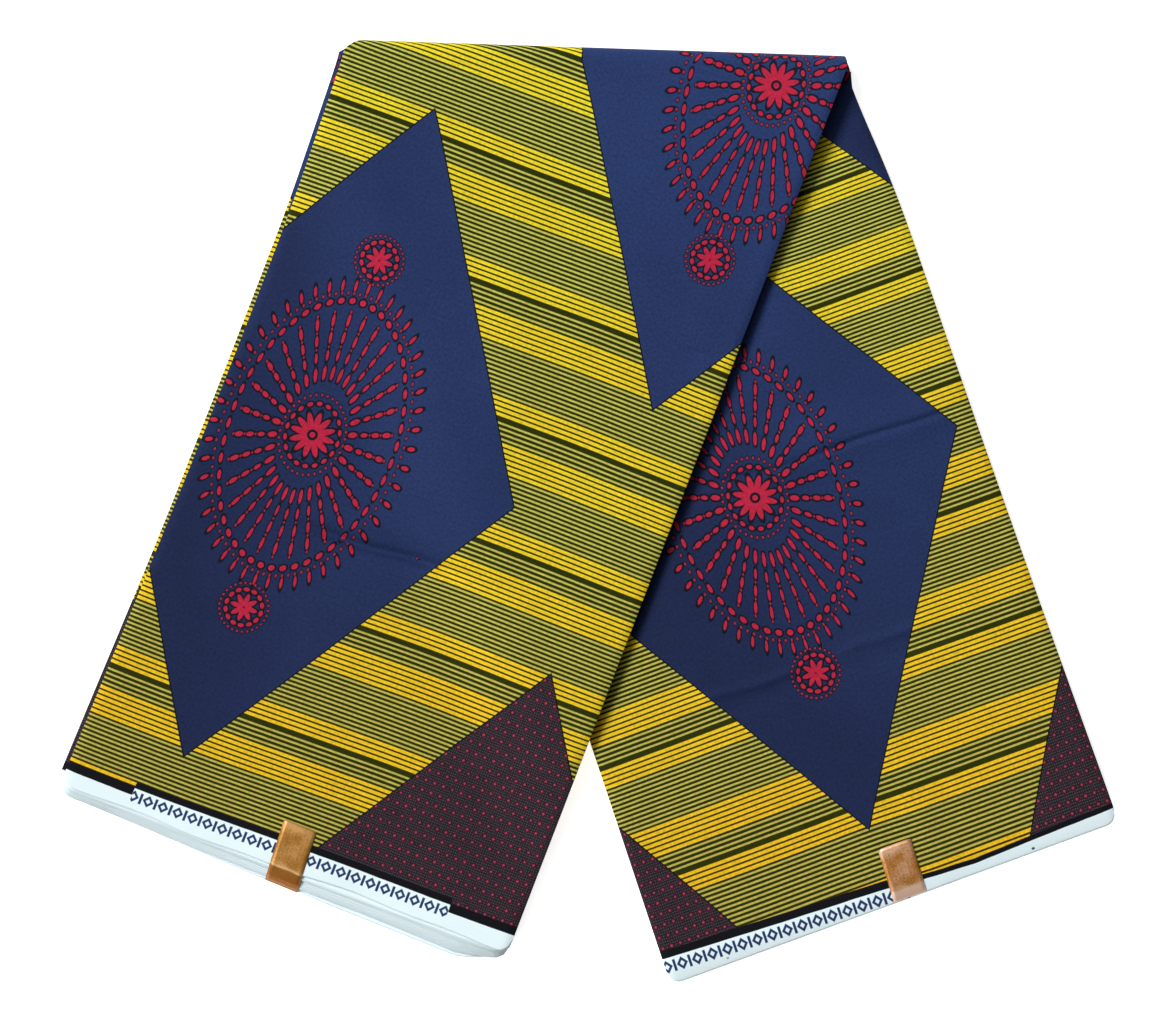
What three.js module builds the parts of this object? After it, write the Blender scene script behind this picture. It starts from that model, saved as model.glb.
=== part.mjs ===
// A length of wax print cloth, folded into a long flat pack and bent once into an inverted V.
// Millimetres, +Z up. The front leg lies on the back leg, and both rest on the floor.
import * as THREE from 'three';
import { mergeVertices } from 'three/addons/utils/BufferGeometryUtils.js';

// The pack, whose layers are counted from its outer face at depth 0 to its inner face
const PACK_THICKNESS = 8.8;
const PACK_WIDTH = 314;
const CLOTH_WALL = 1.0;
const LAYER_GAP = 0.3;
const LEG_GAP = 0.8;

// The bend: the corners of its top edge, and how far each leg leans from its normal
const BEND_LEFT = new THREE.Vector2(-155.4, 311.3);
const BEND_RIGHT = new THREE.Vector2(174.1, 300.3);
const FRONT_LEAN = THREE.MathUtils.degToRad(19.05);
const BACK_LEAN = THREE.MathUtils.degToRad(21.3);
const BEND_RADIUS = PACK_THICKNESS + LEG_GAP / 2;

// How far the bend's corners are drawn in along it, and how wide the drawn part is
const BEND_TUCK_LEFT = 7;
const BEND_TUCK_RIGHT = 3;
const BEND_TUCK_SPAN = 40;

// The cut ends: the outer face's on the front leg, and the inner face's on the back leg
const FRONT_END_LEFT = new THREE.Vector2(-346.7, -180.4);
const FRONT_END_RIGHT = new THREE.Vector2(-51.9, -290.7);
const BACK_END_LEFT = new THREE.Vector2(56.6, -313);
const BACK_END_RIGHT = new THREE.Vector2(351.3, -205.3);
const CORNER_RADIUS = 8;

// How far the legs' side edges bow to the right, and where along the front leg most
const FRONT_LEFT_BOW = 4.6;
const FRONT_BOW_POWER = 0.7;
const BACK_LEFT_BOW = 1.5;
const BACK_RIGHT_BOW = -1.5;

// Going round the bend leaves the layers uneven at the ends: what the shortest one falls short
const FRONT_FAN_LEFT = 8;
const FRONT_FAN_RIGHT = 17.2;
const FAN_CORNER = 11;
const FAN_CORNER_START = 278;
const FAN_CORNER_END = 318;
const BACK_FAN = 16;
const BACK_DROOP = 3.5;

// The front leg comes down to the floor beside the back leg, and below the bend
const DROP_START = 14;
const DROP_END = 82;
const BEND_DROP = 90;

// The side edges, where the cloth turns back on itself in lips of a few folds each
const LEFT_LIPS = [1.5, 3.2, 1.3, 2.6];
const BACK_LEFT_LIPS = [-0.2, 0.2, -0.4, 0];
const RIGHT_LIPS = [-0.3, 0.1, -0.4, 0];
const LIP_VALLEY = -0.9;
const END_NOTCH = 1;
const SHOULDER_WIDTH = 5;
const SHOULDER_DIP = 0.6;
const EDGE_BULGE = 0.4;

// The paper seals that hold each end's layers together
const SEAL_WIDTH = 23;
const SEAL_WALL = 0.4;
const SEAL_CLEARANCE = 0.35;
const SEAL_OVERLAP = 30;
const SEAL_FLAP = 18;
const SEAL_SLANT = Math.tan(THREE.MathUtils.degToRad(6));
const FRONT_SEAL_SHARE = 0.51;
const BACK_SEAL_SHARE = 0.545;
const BACK_SEAL_FOLD = 8;

// The cloth rises over the seals' tucked flaps, between these distances across it
const SEAL_LIFT = SEAL_WALL + SEAL_CLEARANCE;
const LIFT_FOOT = [118, 212];
const LIFT_TOP = [146, 184];
const LIFT_LENGTH = 26;
const LIFT_FADE = 65;

// Where the cloth is divided: distances across it and from a leg's end, then counts
const ACROSS = [0, 1.5, 5, 32, 60, 88, 118, 146, 184, 212, 236, 260, 284, 309, 312.5, PACK_WIDTH];
const FROM_END = [0, 4, 9, 16, 26, 45, 65];
const END_ZONE = 45;
const FRONT_DIVISIONS = 20;
const BACK_DIVISIONS = 4;
const BEND_DIVISIONS = 10;

const { lerp, smoothstep, clamp } = THREE.MathUtils;

// Axes of the bend line: along it to the right, and away from the legs
const bendAxis = BEND_RIGHT.clone().sub(BEND_LEFT).normalize();
const bendNormal = new THREE.Vector2(-bendAxis.y, bendAxis.x);

// A point of the line where a leg leaves the bend. Its lean moves it along the bend's axis.
function leavingPoint(share, lean) {
  return BEND_LEFT.clone()
    .lerp(BEND_RIGHT, share)
    .addScaledVector(bendNormal, -BEND_RADIUS)
    .addScaledVector(bendAxis, BEND_RADIUS * Math.tan(lean));
}

// How far the front leg's longest layer reaches past the outer face, less at the right corner.
function frontFan(share) {
  const corner = smoothstep(PACK_WIDTH * share, FAN_CORNER_START, FAN_CORNER_END);
  return lerp(FRONT_FAN_LEFT, FRONT_FAN_RIGHT, share) - FAN_CORNER * corner;
}

// Each leg: where it leaves the bend, its end line, how far its longest layer reaches past that
// line, and how far its side edges bow to the right.
const legs = {
  front: {
    leaving: (share) => leavingPoint(share, -FRONT_LEAN),
    end: (share) => FRONT_END_LEFT.clone().lerp(FRONT_END_RIGHT, share),
    reach: frontFan,
    bow: (share) => FRONT_LEFT_BOW * (1 - share),
    bowPower: FRONT_BOW_POWER,
  },
  back: {
    leaving: (share) => leavingPoint(share, BACK_LEAN),
    end: (share) => BACK_END_LEFT.clone().lerp(BACK_END_RIGHT, share),
    reach: () => 0,
    bow: (share) => lerp(BACK_LEFT_BOW, BACK_RIGHT_BOW, share),
    bowPower: 1,
  },
};

function legLength(leg, share) {
  return leg.end(share).distanceTo(leg.leaving(share)) + leg.reach(share);
}

// A point of a leg in plan, at a distance from the end of its longest layer.
function planPoint(leg, share, fromEnd) {
  const start = leg.leaving(share);
  const run = leg.end(share).sub(start);
  const length = run.length();
  const along = length + leg.reach(share) - fromEnd;
  const direction = run.divideScalar(length);
  const rightward = new THREE.Vector2(-direction.y, direction.x);
  const bow = leg.bow(share) * Math.sin(Math.PI * clamp(along / length, 0, 1) ** leg.bowPower);
  return start.addScaledVector(direction, along).addScaledVector(rightward, bow);
}

// The share of its full height over the back leg that the front leg keeps at a plan point.
function heightShare(point) {
  const edgeStart = legs.back.leaving(0);
  const edge = BACK_END_LEFT.clone().sub(edgeStart).normalize();
  const away = point.clone().sub(edgeStart);
  const beyondEdge = edge.y * away.x - edge.x * away.y;
  const belowBend = -away.dot(bendNormal);
  const overEdge = 1 - smoothstep(beyondEdge, DROP_START, DROP_END);
  const nearBend = 1 - smoothstep(belowBend, 0, BEND_DROP);
  return 1 - (1 - overEdge) * (1 - nearBend);
}

// The cloth rises a little over the part of a seal that is tucked under it.
function sealLift(share, fromEnd) {
  const across = PACK_WIDTH * share;
  const rise = smoothstep(across, LIFT_FOOT[0], LIFT_TOP[0]);
  const fall = 1 - smoothstep(across, LIFT_TOP[1], LIFT_FOOT[1]);
  return SEAL_LIFT * Math.min(rise, fall) * (1 - smoothstep(fromEnd, LIFT_LENGTH, LIFT_FADE));
}

// The back leg's long top layers sink past the ends of the shorter ones below them.
function backDroop(fromEnd) {
  return BACK_DROOP * clamp(1 - fromEnd / BACK_FAN, 0, 1) ** 2;
}

// How far the bend's rounded corners are drawn in along its axis, most at its outermost line.
function bendTuck(share, angle) {
  const fromLeft = clamp((PACK_WIDTH * share) / BEND_TUCK_SPAN, 0, 1);
  const fromRight = clamp((PACK_WIDTH * (1 - share)) / BEND_TUCK_SPAN, 0, 1);
  const tuck = BEND_TUCK_LEFT * (1 - fromLeft) ** 2 - BEND_TUCK_RIGHT * (1 - fromRight) ** 2;
  return tuck * Math.sin(angle) ** 2;
}

// A point in space: a station along the pack, a share across it, and a depth from its outer face.
function place(station, share, depth) {
  if (station.leg === 'bend') {
    const radius = BEND_RADIUS - depth;
    const plan = legs.front.leaving(share)
      .lerp(legs.back.leaving(share), station.angle / Math.PI)
      .addScaledVector(bendNormal, radius * Math.sin(station.angle))
      .addScaledVector(bendAxis, bendTuck(share, station.angle));
    return new THREE.Vector3(plan.x, plan.y, BEND_RADIUS + radius * Math.cos(station.angle));
  }
  const plan = planPoint(legs[station.leg], share, station.fromEnd);
  const lift = sealLift(share, station.fromEnd);
  if (station.leg === 'back') {
    return new THREE.Vector3(plan.x, plan.y, depth + lift - backDroop(station.fromEnd));
  }
  const carried = (PACK_THICKNESS + LEG_GAP) * heightShare(plan);
  return new THREE.Vector3(plan.x, plan.y, carried + PACK_THICKNESS - depth + lift);
}

// Stations run from the front leg's end, round the bend, to the back leg's end.
const frontStations = FROM_END.length + FRONT_DIVISIONS - 1;
const backStations = FROM_END.length + BACK_DIVISIONS - 1;
const lastStation = frontStations + BEND_DIVISIONS + backStations;

function stationAt(index, share, shortOfFront, shortOfBack) {
  const intoBend = index - frontStations;
  if (intoBend < 0) {
    const fromEnd = distanceFromEnd(legs.front, index, share, FRONT_DIVISIONS, shortOfFront);
    return { leg: 'front', fromEnd };
  }
  if (intoBend <= BEND_DIVISIONS) {
    return { leg: 'bend', angle: (Math.PI * intoBend) / BEND_DIVISIONS };
  }
  const back = lastStation - index;
  const fromEnd = distanceFromEnd(legs.back, back, share, BACK_DIVISIONS, shortOfBack);
  return { leg: 'back', fromEnd };
}

// Near a leg's end, a short layer's stations close up evenly between its end and the end zone.
function distanceFromEnd(leg, index, share, divisions, shortBy) {
  const last = FROM_END.length - 1;
  if (index > last) {
    return lerp(FROM_END[last], legLength(leg, share), (index - last) / divisions);
  }
  const distance = FROM_END[index];
  return distance < END_ZONE ? lerp(shortBy, END_ZONE, distance / END_ZONE) : distance;
}

// How far a leg's end falls back at its rounded corners.
function cornerRetreat(share) {
  const fromSide = PACK_WIDTH * Math.min(share, 1 - share);
  const rest = CORNER_RADIUS - clamp(fromSide, 0, CORNER_RADIUS);
  return CORNER_RADIUS - Math.sqrt(CORNER_RADIUS ** 2 - rest ** 2);
}

// A box's bottom face is split along the other diagonal than its top face. Split alike, the
// faces of neighbouring layers stay parallel wherever the pack is curved.
function splitFacesAlike(box) {
  const bottom = box.groups.at(-1);
  const corners = box.index;
  for (let at = bottom.start; at < bottom.start + bottom.count; at += 6) {
    const [a, b, c, d] = [0, 1, 4, 5].map((step) => corners.getX(at + step));
    [a, b, c, a, c, d].forEach((corner, step) => corners.setX(at + step, corner));
  }
}

// A closed slab: a box divided along, across and through, each corner moved to its place.
function slab(name, material, counts, corner) {
  const box = new THREE.BoxGeometry(...counts, ...counts);
  splitFacesAlike(box);
  box.translate(...counts.map((count) => count / 2));
  box.deleteAttribute('normal');
  box.deleteAttribute('uv');
  const spots = box.attributes.position;
  for (let spot = 0; spot < spots.count; spot += 1) {
    const steps = [spots.getX(spot), spots.getY(spot), spots.getZ(spot)].map(Math.round);
    const point = corner(...steps);
    spots.setXYZ(spot, point.x, point.y, point.z);
  }
  const closed = mergeVertices(box, 1e-4);
  closed.computeVertexNormals();
  const mesh = new THREE.Mesh(closed, material);
  mesh.name = name;
  return mesh;
}

const lastAcross = ACROSS.length - 1;

// A face layer: one ply of cloth. Its open side is rounded where it turns over the hidden folds.
function faceLayer(name, material, topDepth, isOuter) {
  const through = 2;
  return slab(name, material, [lastStation, lastAcross, through], (i, j, k) => {
    const share = ACROSS[j] / PACK_WIDTH;
    const fromSide = Math.min(ACROSS[j], PACK_WIDTH - ACROSS[j]);
    const dip = SHOULDER_DIP * clamp(1 - fromSide / SHOULDER_WIDTH, 0, 1) ** 2;
    const part = k / through;
    const depth = topDepth + CLOTH_WALL * part + (isOuter ? dip * (1 - part) : -dip * part);
    const side = Number(j === lastAcross) - Number(j === 0);
    const bulge = k === 1 ? side * EDGE_BULGE : 0;
    const retreat = cornerRetreat(share);
    const shortOfFront = retreat + (isOuter ? legs.front.reach(share) : 0);
    const shortOfBack = retreat + (isOuter ? BACK_FAN : 0);
    const station = stationAt(i, share, shortOfFront, shortOfBack);
    return place(station, share + bulge / PACK_WIDTH, depth);
  });
}

// How far a lip stands out at the left: its full amount on the front leg, less past the bend.
function leftLip(lip, station) {
  const kept = { front: 1, bend: (1 + Math.cos(station.angle ?? 0)) / 2, back: 0 }[station.leg];
  return lerp(BACK_LEFT_LIPS[lip], LEFT_LIPS[lip], kept);
}

// The hidden layers as one solid, with a lip at its sides and ends for each group of folds.
function hiddenLayers(material) {
  const topDepth = CLOTH_WALL + LAYER_GAP;
  const bottomDepth = PACK_THICKNESS - topDepth;
  const through = 2 * LEFT_LIPS.length;
  return slab('hidden_layers', material, [lastStation, lastAcross, through], (i, j, k) => {
    const part = k / through;
    const onLip = k % 2 === 1;
    const lip = (k - 1) / 2;
    const share = ACROSS[j] / PACK_WIDTH;
    const retreat = cornerRetreat(share) + (onLip ? 0 : END_NOTCH);
    const shortOfFront = retreat + (1 - part) * legs.front.reach(share);
    const shortOfBack = retreat + END_NOTCH + (1 - part) * (BACK_FAN - 2 * END_NOTCH);
    const station = stationAt(i, share, shortOfFront, shortOfBack);
    const left = onLip ? leftLip(lip, station) : LIP_VALLEY;
    const right = onLip ? RIGHT_LIPS[lip] : LIP_VALLEY;
    const moved = Number(j === lastAcross) * right - Number(j === 0) * left;
    return place(station, share + moved / PACK_WIDTH, lerp(topDepth, bottomDepth, part));
  });
}

// A paper strip stuck on a leg's top face, bent down over the ends of the layers and tucked
// under them. Its profile is a list of distances from the leg's end and heights of its inner face.
function seal(name, material, leg, shareAtEnd, slant, profile) {
  const outward = profile.map((point, index) => {
    const before = profile[Math.max(index - 1, 0)];
    const after = profile[Math.min(index + 1, profile.length - 1)];
    const first = point.clone().sub(before).normalize();
    const second = after.clone().sub(point).normalize();
    const along = first.add(second).normalize();
    return new THREE.Vector2(along.y, -along.x);
  });
  return slab(name, material, [profile.length - 1, 1, 1], (i, j, k) => {
    const spot = profile[i].clone().addScaledVector(outward[i], SEAL_WALL * k);
    const across = SEAL_WIDTH * (j - 0.5) + slant * spot.x;
    const plan = planPoint(leg, shareAtEnd + across / PACK_WIDTH, spot.x);
    return new THREE.Vector3(plan.x, plan.y, spot.y);
  });
}

const sealTop = PACK_THICKNESS + SEAL_LIFT + SEAL_CLEARANCE;

function frontSeal(material) {
  const topEnd = legs.front.reach(FRONT_SEAL_SHARE);
  const profile = [
    new THREE.Vector2(topEnd + SEAL_OVERLAP, sealTop),
    new THREE.Vector2(topEnd - 0.5, sealTop),
    new THREE.Vector2(-0.6, 2.4),
    new THREE.Vector2(-0.6, SEAL_WALL),
    new THREE.Vector2(SEAL_FLAP, SEAL_WALL),
  ];
  return seal('front_seal', material, legs.front, FRONT_SEAL_SHARE, -SEAL_SLANT, profile);
}

function backSeal(material) {
  const onDroop = [BACK_FAN, 12, BACK_SEAL_FOLD, 4, -0.5];
  const profile = [
    new THREE.Vector2(SEAL_OVERLAP + BACK_SEAL_FOLD, sealTop),
    ...onDroop.map((x) => new THREE.Vector2(x, sealTop - backDroop(Math.max(x, 0)))),
    new THREE.Vector2(-0.9, 2.4),
    new THREE.Vector2(-0.9, SEAL_WALL),
    new THREE.Vector2(BACK_FAN + SEAL_FLAP / 2, SEAL_WALL),
  ];
  return seal('back_seal', material, legs.back, BACK_SEAL_SHARE, SEAL_SLANT, profile);
}

const outerPrint = new THREE.MeshStandardMaterial({ color: 0x29386a, roughness: 0.62, metalness: 0 });
const innerPrint = new THREE.MeshStandardMaterial({ color: 0xa8902c, roughness: 0.62, metalness: 0 });
const whiteEdges = new THREE.MeshStandardMaterial({ color: 0xe5fcf7, roughness: 0.7, metalness: 0 });
const orangeFoil = new THREE.MeshStandardMaterial({ color: 0xc08b4e, roughness: 0.35, metalness: 0.6 });
const copperFoil = new THREE.MeshStandardMaterial({ color: 0xb37c38, roughness: 0.35, metalness: 0.6 });

const fabric = new THREE.Group();
fabric.add(faceLayer('outer_layer', outerPrint, 0, true));
fabric.add(hiddenLayers(whiteEdges));
fabric.add(faceLayer('inner_layer', innerPrint, PACK_THICKNESS - CLOTH_WALL, false));
fabric.add(frontSeal(orangeFoil));
fabric.add(backSeal(copperFoil));

export default fabric;
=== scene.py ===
"""A folded length of wax print cloth, bent once into an inverted V, with a foil seal at each end.

All lengths are in metres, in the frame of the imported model: +Z up, +Y towards the bend.
"""

import logging
import math
from dataclasses import dataclass
from enum import Enum
from typing import Sequence

import bpy
import numpy as np
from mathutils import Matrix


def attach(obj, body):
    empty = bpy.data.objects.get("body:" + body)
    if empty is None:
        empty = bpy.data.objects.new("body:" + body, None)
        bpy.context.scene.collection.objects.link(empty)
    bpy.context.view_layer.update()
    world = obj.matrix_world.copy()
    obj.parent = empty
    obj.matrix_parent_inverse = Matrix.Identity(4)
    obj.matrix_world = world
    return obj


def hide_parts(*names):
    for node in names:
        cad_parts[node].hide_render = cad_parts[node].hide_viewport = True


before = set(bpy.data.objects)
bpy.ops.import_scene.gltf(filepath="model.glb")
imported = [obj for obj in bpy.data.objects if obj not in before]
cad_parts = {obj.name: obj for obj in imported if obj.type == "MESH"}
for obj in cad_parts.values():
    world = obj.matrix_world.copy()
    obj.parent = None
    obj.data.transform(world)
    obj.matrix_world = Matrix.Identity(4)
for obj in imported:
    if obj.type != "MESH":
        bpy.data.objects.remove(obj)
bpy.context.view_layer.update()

MM = 0.001
LOG = logging.getLogger("wax_print")

PICTURE_WIDTH = 776 * MM
PICTURE_CENTRE = (1.3 * MM, 3.2 * MM)
CAMERA_HEIGHT = 2.6
CLOTH_HEIGHT = 9 * MM
SENSOR_WIDTH = 36


# ---------------------------------------------------------------- shape of the bent pack


def smoothstep(value: np.ndarray, low: float, high: float) -> np.ndarray:
    """A smooth rise from 0 at low to 1 at high.

    Args:
        value: Where to take it.
        low: The value up to which it is 0.
        high: The value from which it is 1.

    Returns:
        3 t squared minus 2 t cubed, with t the share of the way from low to high.
    """
    t = np.clip((value - low) / (high - low), 0, 1)
    return t * t * (3 - 2 * t)


class Stretch(Enum):
    """Where along the folded pack a station lies."""

    FRONT = 0
    BEND = 1
    BACK = 2


def by_stretch(
    stretch: np.ndarray,
    front: np.ndarray | float,
    bend: np.ndarray | float,
    back: np.ndarray | float,
) -> np.ndarray:
    """Picks values by stretch.

    Args:
        stretch: Each point's Stretch value.
        front: Values on the front leg.
        bend: Values round the bend.
        back: Values on the back leg.

    Returns:
        For each point, the value of the stretch that it lies on.
    """
    on_front, on_bend = stretch == Stretch.FRONT.value, stretch == Stretch.BEND.value
    return np.where(on_front, front, np.where(on_bend, bend, back))


@dataclass(frozen=True)
class Crease:
    """A soft trough or ridge that the cloth kept from being folded smaller.

    Attributes:
        start: Distance across the leg and from its end, where the crease begins.
        end: The same, where it dies out.
        rise: Height of its middle, negative for a trough.
        width: Distance from its line at which a third of the rise is left.
    """

    start: tuple[float, float]
    end: tuple[float, float]
    rise: float
    width: float

    def height(self, across: np.ndarray, along: np.ndarray) -> np.ndarray:
        """Height that the crease adds.

        Args:
            across: Distances across the leg.
            along: Distances from its end.

        Returns:
            The rise times a bell curve over the distance to the line, faded at both its ends.
        """
        start, end = np.array(self.start), np.array(self.end)
        run = end - start
        length = math.hypot(*run)
        share = ((across - start[0]) * run[0] + (along - start[1]) * run[1]) / length**2
        side = ((across - start[0]) * run[1] - (along - start[1]) * run[0]) / length
        # The line sways to and fro by a quarter of the crease's width.
        bend = 0.25 * self.width * np.sin(7 * share + 40 * start[1])
        ends = smoothstep(share, -0.25, 0.2) * (1 - smoothstep(share, 0.8, 1.25))
        return self.rise * ends * np.exp(-(((side + bend) / self.width) ** 2))


@dataclass(frozen=True)
class Leg:
    """One leg of the V in plan.

    Attributes:
        lean: Angle from the bend's normal, positive towards the right.
        end_left: Left end of the line that its top face is cut on.
        end_right: Right end of that line.
        fan: How far the longest ply reaches past the line, at its left and right.
        fan_corner: How much less it reaches at the right corner.
        bow: How far the left and the right edge bow to the right.
        bow_power: Under 1, the bow is deepest nearer to the bend.
        pinch: How far the right edge is drawn in next to the bend.
        creases: What its top face keeps of old folds.
    """

    lean: float
    end_left: tuple[float, float]
    end_right: tuple[float, float]
    fan: tuple[float, float] = (0.0, 0.0)
    fan_corner: float = 0.0
    bow: tuple[float, float] = (0.0, 0.0)
    bow_power: float = 1.0
    pinch: float = 0.0
    creases: tuple[Crease, ...] = ()


FRONT_LEG = Leg(
    lean=math.radians(-19.05),
    end_left=(-346.7 * MM, -180.4 * MM),
    end_right=(-51.9 * MM, -290.7 * MM),
    fan=(8 * MM, 17.2 * MM),
    fan_corner=9 * MM,
    bow=(4.6 * MM, 0.0),
    bow_power=0.7,
    creases=(
        Crease((0.100, 0.2276), (0.186, 0.2352), -3.70 * MM, 3.6 * MM),
        Crease((0.040, 0.222), (0.110, 0.228), -0.80 * MM, 4.5 * MM),
        Crease((0.085, 0.243), (0.200, 0.251), 2.50 * MM, 9 * MM),
        Crease((0.210, 0.431), (0.300, 0.428), -0.90 * MM, 3.0 * MM),
        Crease((0.030, 0.414), (0.150, 0.420), 0.80 * MM, 9 * MM),
        Crease((0.135, 0.520), (0.190, 0.300), 0.55 * MM, 16 * MM),
        Crease((0.240, 0.180), (0.250, 0.040), 0.40 * MM, 18 * MM),
        Crease((0.050, 0.080), (0.140, 0.070), -0.60 * MM, 8 * MM),
    ),
)
BACK_LEG = Leg(
    lean=math.radians(21.3),
    end_left=(56.6 * MM, -313.0 * MM),
    end_right=(351.3 * MM, -205.3 * MM),
    bow=(1.5 * MM, -1.5 * MM),
    pinch=5.9 * MM,
    creases=(
        Crease((0.206, 0.2966), (0.304, 0.2942), -1.70 * MM, 2.4 * MM),
        Crease((0.128, 0.3020), (0.192, 0.2962), -1.00 * MM, 2.6 * MM),
        Crease((0.180, 0.302), (0.310, 0.299), 2.10 * MM, 15 * MM),
        Crease((0.080, 0.1698), (0.146, 0.1670), 1.30 * MM, 3.4 * MM),
        Crease((0.180, 0.1684), (0.236, 0.1680), 1.15 * MM, 3.4 * MM),
        Crease((0.080, 0.157), (0.240, 0.156), -0.70 * MM, 6 * MM),
        Crease((0.150, 0.440), (0.250, 0.390), 0.50 * MM, 20 * MM),
        Crease((0.175, 0.070), (0.185, 0.010), -0.50 * MM, 9 * MM),
    ),
)


@dataclass(frozen=True)
class BentPack:
    """The folded pack, bent over a line so that its front leg lies on its back leg.

    Depth counts the pack's plies from its outer face, which is on top of the front leg and
    under the back leg.

    Attributes:
        thickness: The pack's thickness.
        width: Its width.
        leg_gap: Height left between the two legs.
        bend_left: Left end of the bend's line in plan.
        bend_right: Right end of that line.
        bend_tuck: How far the bend's left and right corners are drawn in.
        tuck_span: Distance from a corner over which that dies out.
        corner_rise: How far the bend's right corner stands up off the back leg.
        corner_fade: Distance along the front leg at which a third of that is left.
        corner: Radius of the cloth's corners at its ends.
        front: The front leg.
        back: The back leg.
        fan_corner_span: Distances across between which a fan falls back at its right corner.
        back_fan: How far the back leg's top ply reaches past its lowest one.
        back_droop: How far that ply's end sinks.
        drop: Distances beside the back leg between which the front leg comes down.
        bend_drop: Distance from the bend by which it may be down.
        pinch_root: Share of a leg's pinch right at the bend.
        pinch_rise: Distance from the bend at which the pinch is whole.
        pinch_fade: Distance at which a third of it is left.
        crease_fade: Distance from the bend over which the front leg's creases die out.
        swell: Heights of the slow and the quick unevenness of a top face.
        shoulder_width: Width of a top face's rounded side edges.
        shoulder_dip: How far they come down.
        seal_lift: How far the cloth rises over a seal's tucked end.
        lift_foot: Distances across at which that rise begins and ends.
        lift_top: Distances across between which it is whole.
        lift_length: Distance from a leg's end up to which it is whole.
        lift_fade: Distance at which it has died out.
    """

    thickness: float = 8.8 * MM
    width: float = 314 * MM
    leg_gap: float = 0.8 * MM
    bend_left: tuple[float, float] = (-155.4 * MM, 311.3 * MM)
    bend_right: tuple[float, float] = (174.1 * MM, 300.3 * MM)
    bend_tuck: tuple[float, float] = (7 * MM, 2.6 * MM)
    tuck_span: float = 40 * MM
    corner_rise: float = 7.5 * MM
    corner_fade: float = 78 * MM
    corner: float = 8 * MM
    front: Leg = FRONT_LEG
    back: Leg = BACK_LEG
    fan_corner_span: tuple[float, float] = (278 * MM, 318 * MM)
    back_fan: float = 16 * MM
    back_droop: float = 3.5 * MM
    drop: tuple[float, float] = (14 * MM, 82 * MM)
    bend_drop: float = 90 * MM
    pinch_root: float = 0.55
    pinch_rise: float = 10 * MM
    pinch_fade: float = 62 * MM
    crease_fade: float = 30 * MM
    swell: tuple[float, float] = (0.30 * MM, 0.10 * MM)
    shoulder_width: float = 6 * MM
    shoulder_dip: float = 1.1 * MM
    seal_lift: float = 0.75 * MM
    lift_foot: tuple[float, float] = (118 * MM, 212 * MM)
    lift_top: tuple[float, float] = (146 * MM, 184 * MM)
    lift_length: float = 26 * MM
    lift_fade: float = 65 * MM

    @property
    def bend_radius(self) -> float:
        """Radius of the outer face round the bend."""
        return self.thickness + self.leg_gap / 2

    def bend_axes(self) -> tuple[np.ndarray, np.ndarray]:
        """The bend's own directions in plan.

        Returns:
            Unit vectors along the bend's line to the right, and away from the legs.
        """
        axis = np.subtract(self.bend_right, self.bend_left)
        axis = axis / np.linalg.norm(axis)
        return axis, np.array([-axis[1], axis[0]])

    def leaving(self, leg: Leg, share: np.ndarray) -> np.ndarray:
        """Points of the line where a leg leaves the bend.

        Args:
            leg: The leg.
            share: How far across the pack, from 0 at the left to 1.

        Returns:
            The bend's line at each share, moved in by the radius, and along by radius times
            the tangent of the lean.
        """
        axis, normal = self.bend_axes()
        left, right = np.array(self.bend_left), np.array(self.bend_right)
        moved = self.bend_radius * (math.tan(leg.lean) * axis - normal)
        return left + share[..., None] * (right - left) + moved

    def reach(self, leg: Leg, share: np.ndarray) -> np.ndarray:
        """How far the longest ply of a leg reaches past its cut line."""
        corner = smoothstep(self.width * share, *self.fan_corner_span)
        return leg.fan[0] + (leg.fan[1] - leg.fan[0]) * share - leg.fan_corner * corner

    def retreat(self, share: np.ndarray) -> np.ndarray:
        """How far an end falls back at its rounded corners: a quarter circle."""
        inside = np.clip(self.width * np.minimum(share, 1 - share), 0, self.corner)
        return self.corner - np.sqrt(self.corner**2 - (self.corner - inside) ** 2)

    def tuck(self, share: np.ndarray, angle: np.ndarray) -> np.ndarray:
        """How far the bend's corners are drawn in along it.

        Args:
            share: How far across.
            angle: The angle turned round the bend.

        Returns:
            A parabola over the distance to the nearer corner, times the sine squared.
        """
        left = np.clip(1 - self.width * share / self.tuck_span, 0, 1) ** 2
        right = np.clip(1 - self.width * (1 - share) / self.tuck_span, 0, 1) ** 2
        return (self.bend_tuck[0] * left - self.bend_tuck[1] * right) * np.sin(angle) ** 2

    def run(self, leg: Leg, share: np.ndarray) -> tuple[np.ndarray, np.ndarray]:
        """The way from the bend to a leg's cut line.

        Args:
            leg: The leg.
            share: How far across.

        Returns:
            The vectors from the leaving points to the cut line, and their lengths.
        """
        left, right = np.array(leg.end_left), np.array(leg.end_right)
        vector = left + share[..., None] * (right - left) - self.leaving(leg, share)
        return vector, np.linalg.norm(vector, axis=-1)

    def length(self, leg: Leg, share: np.ndarray) -> np.ndarray:
        """Distance from where a leg leaves the bend to its longest ply's end."""
        return self.run(leg, share)[1] + self.reach(leg, share)

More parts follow.
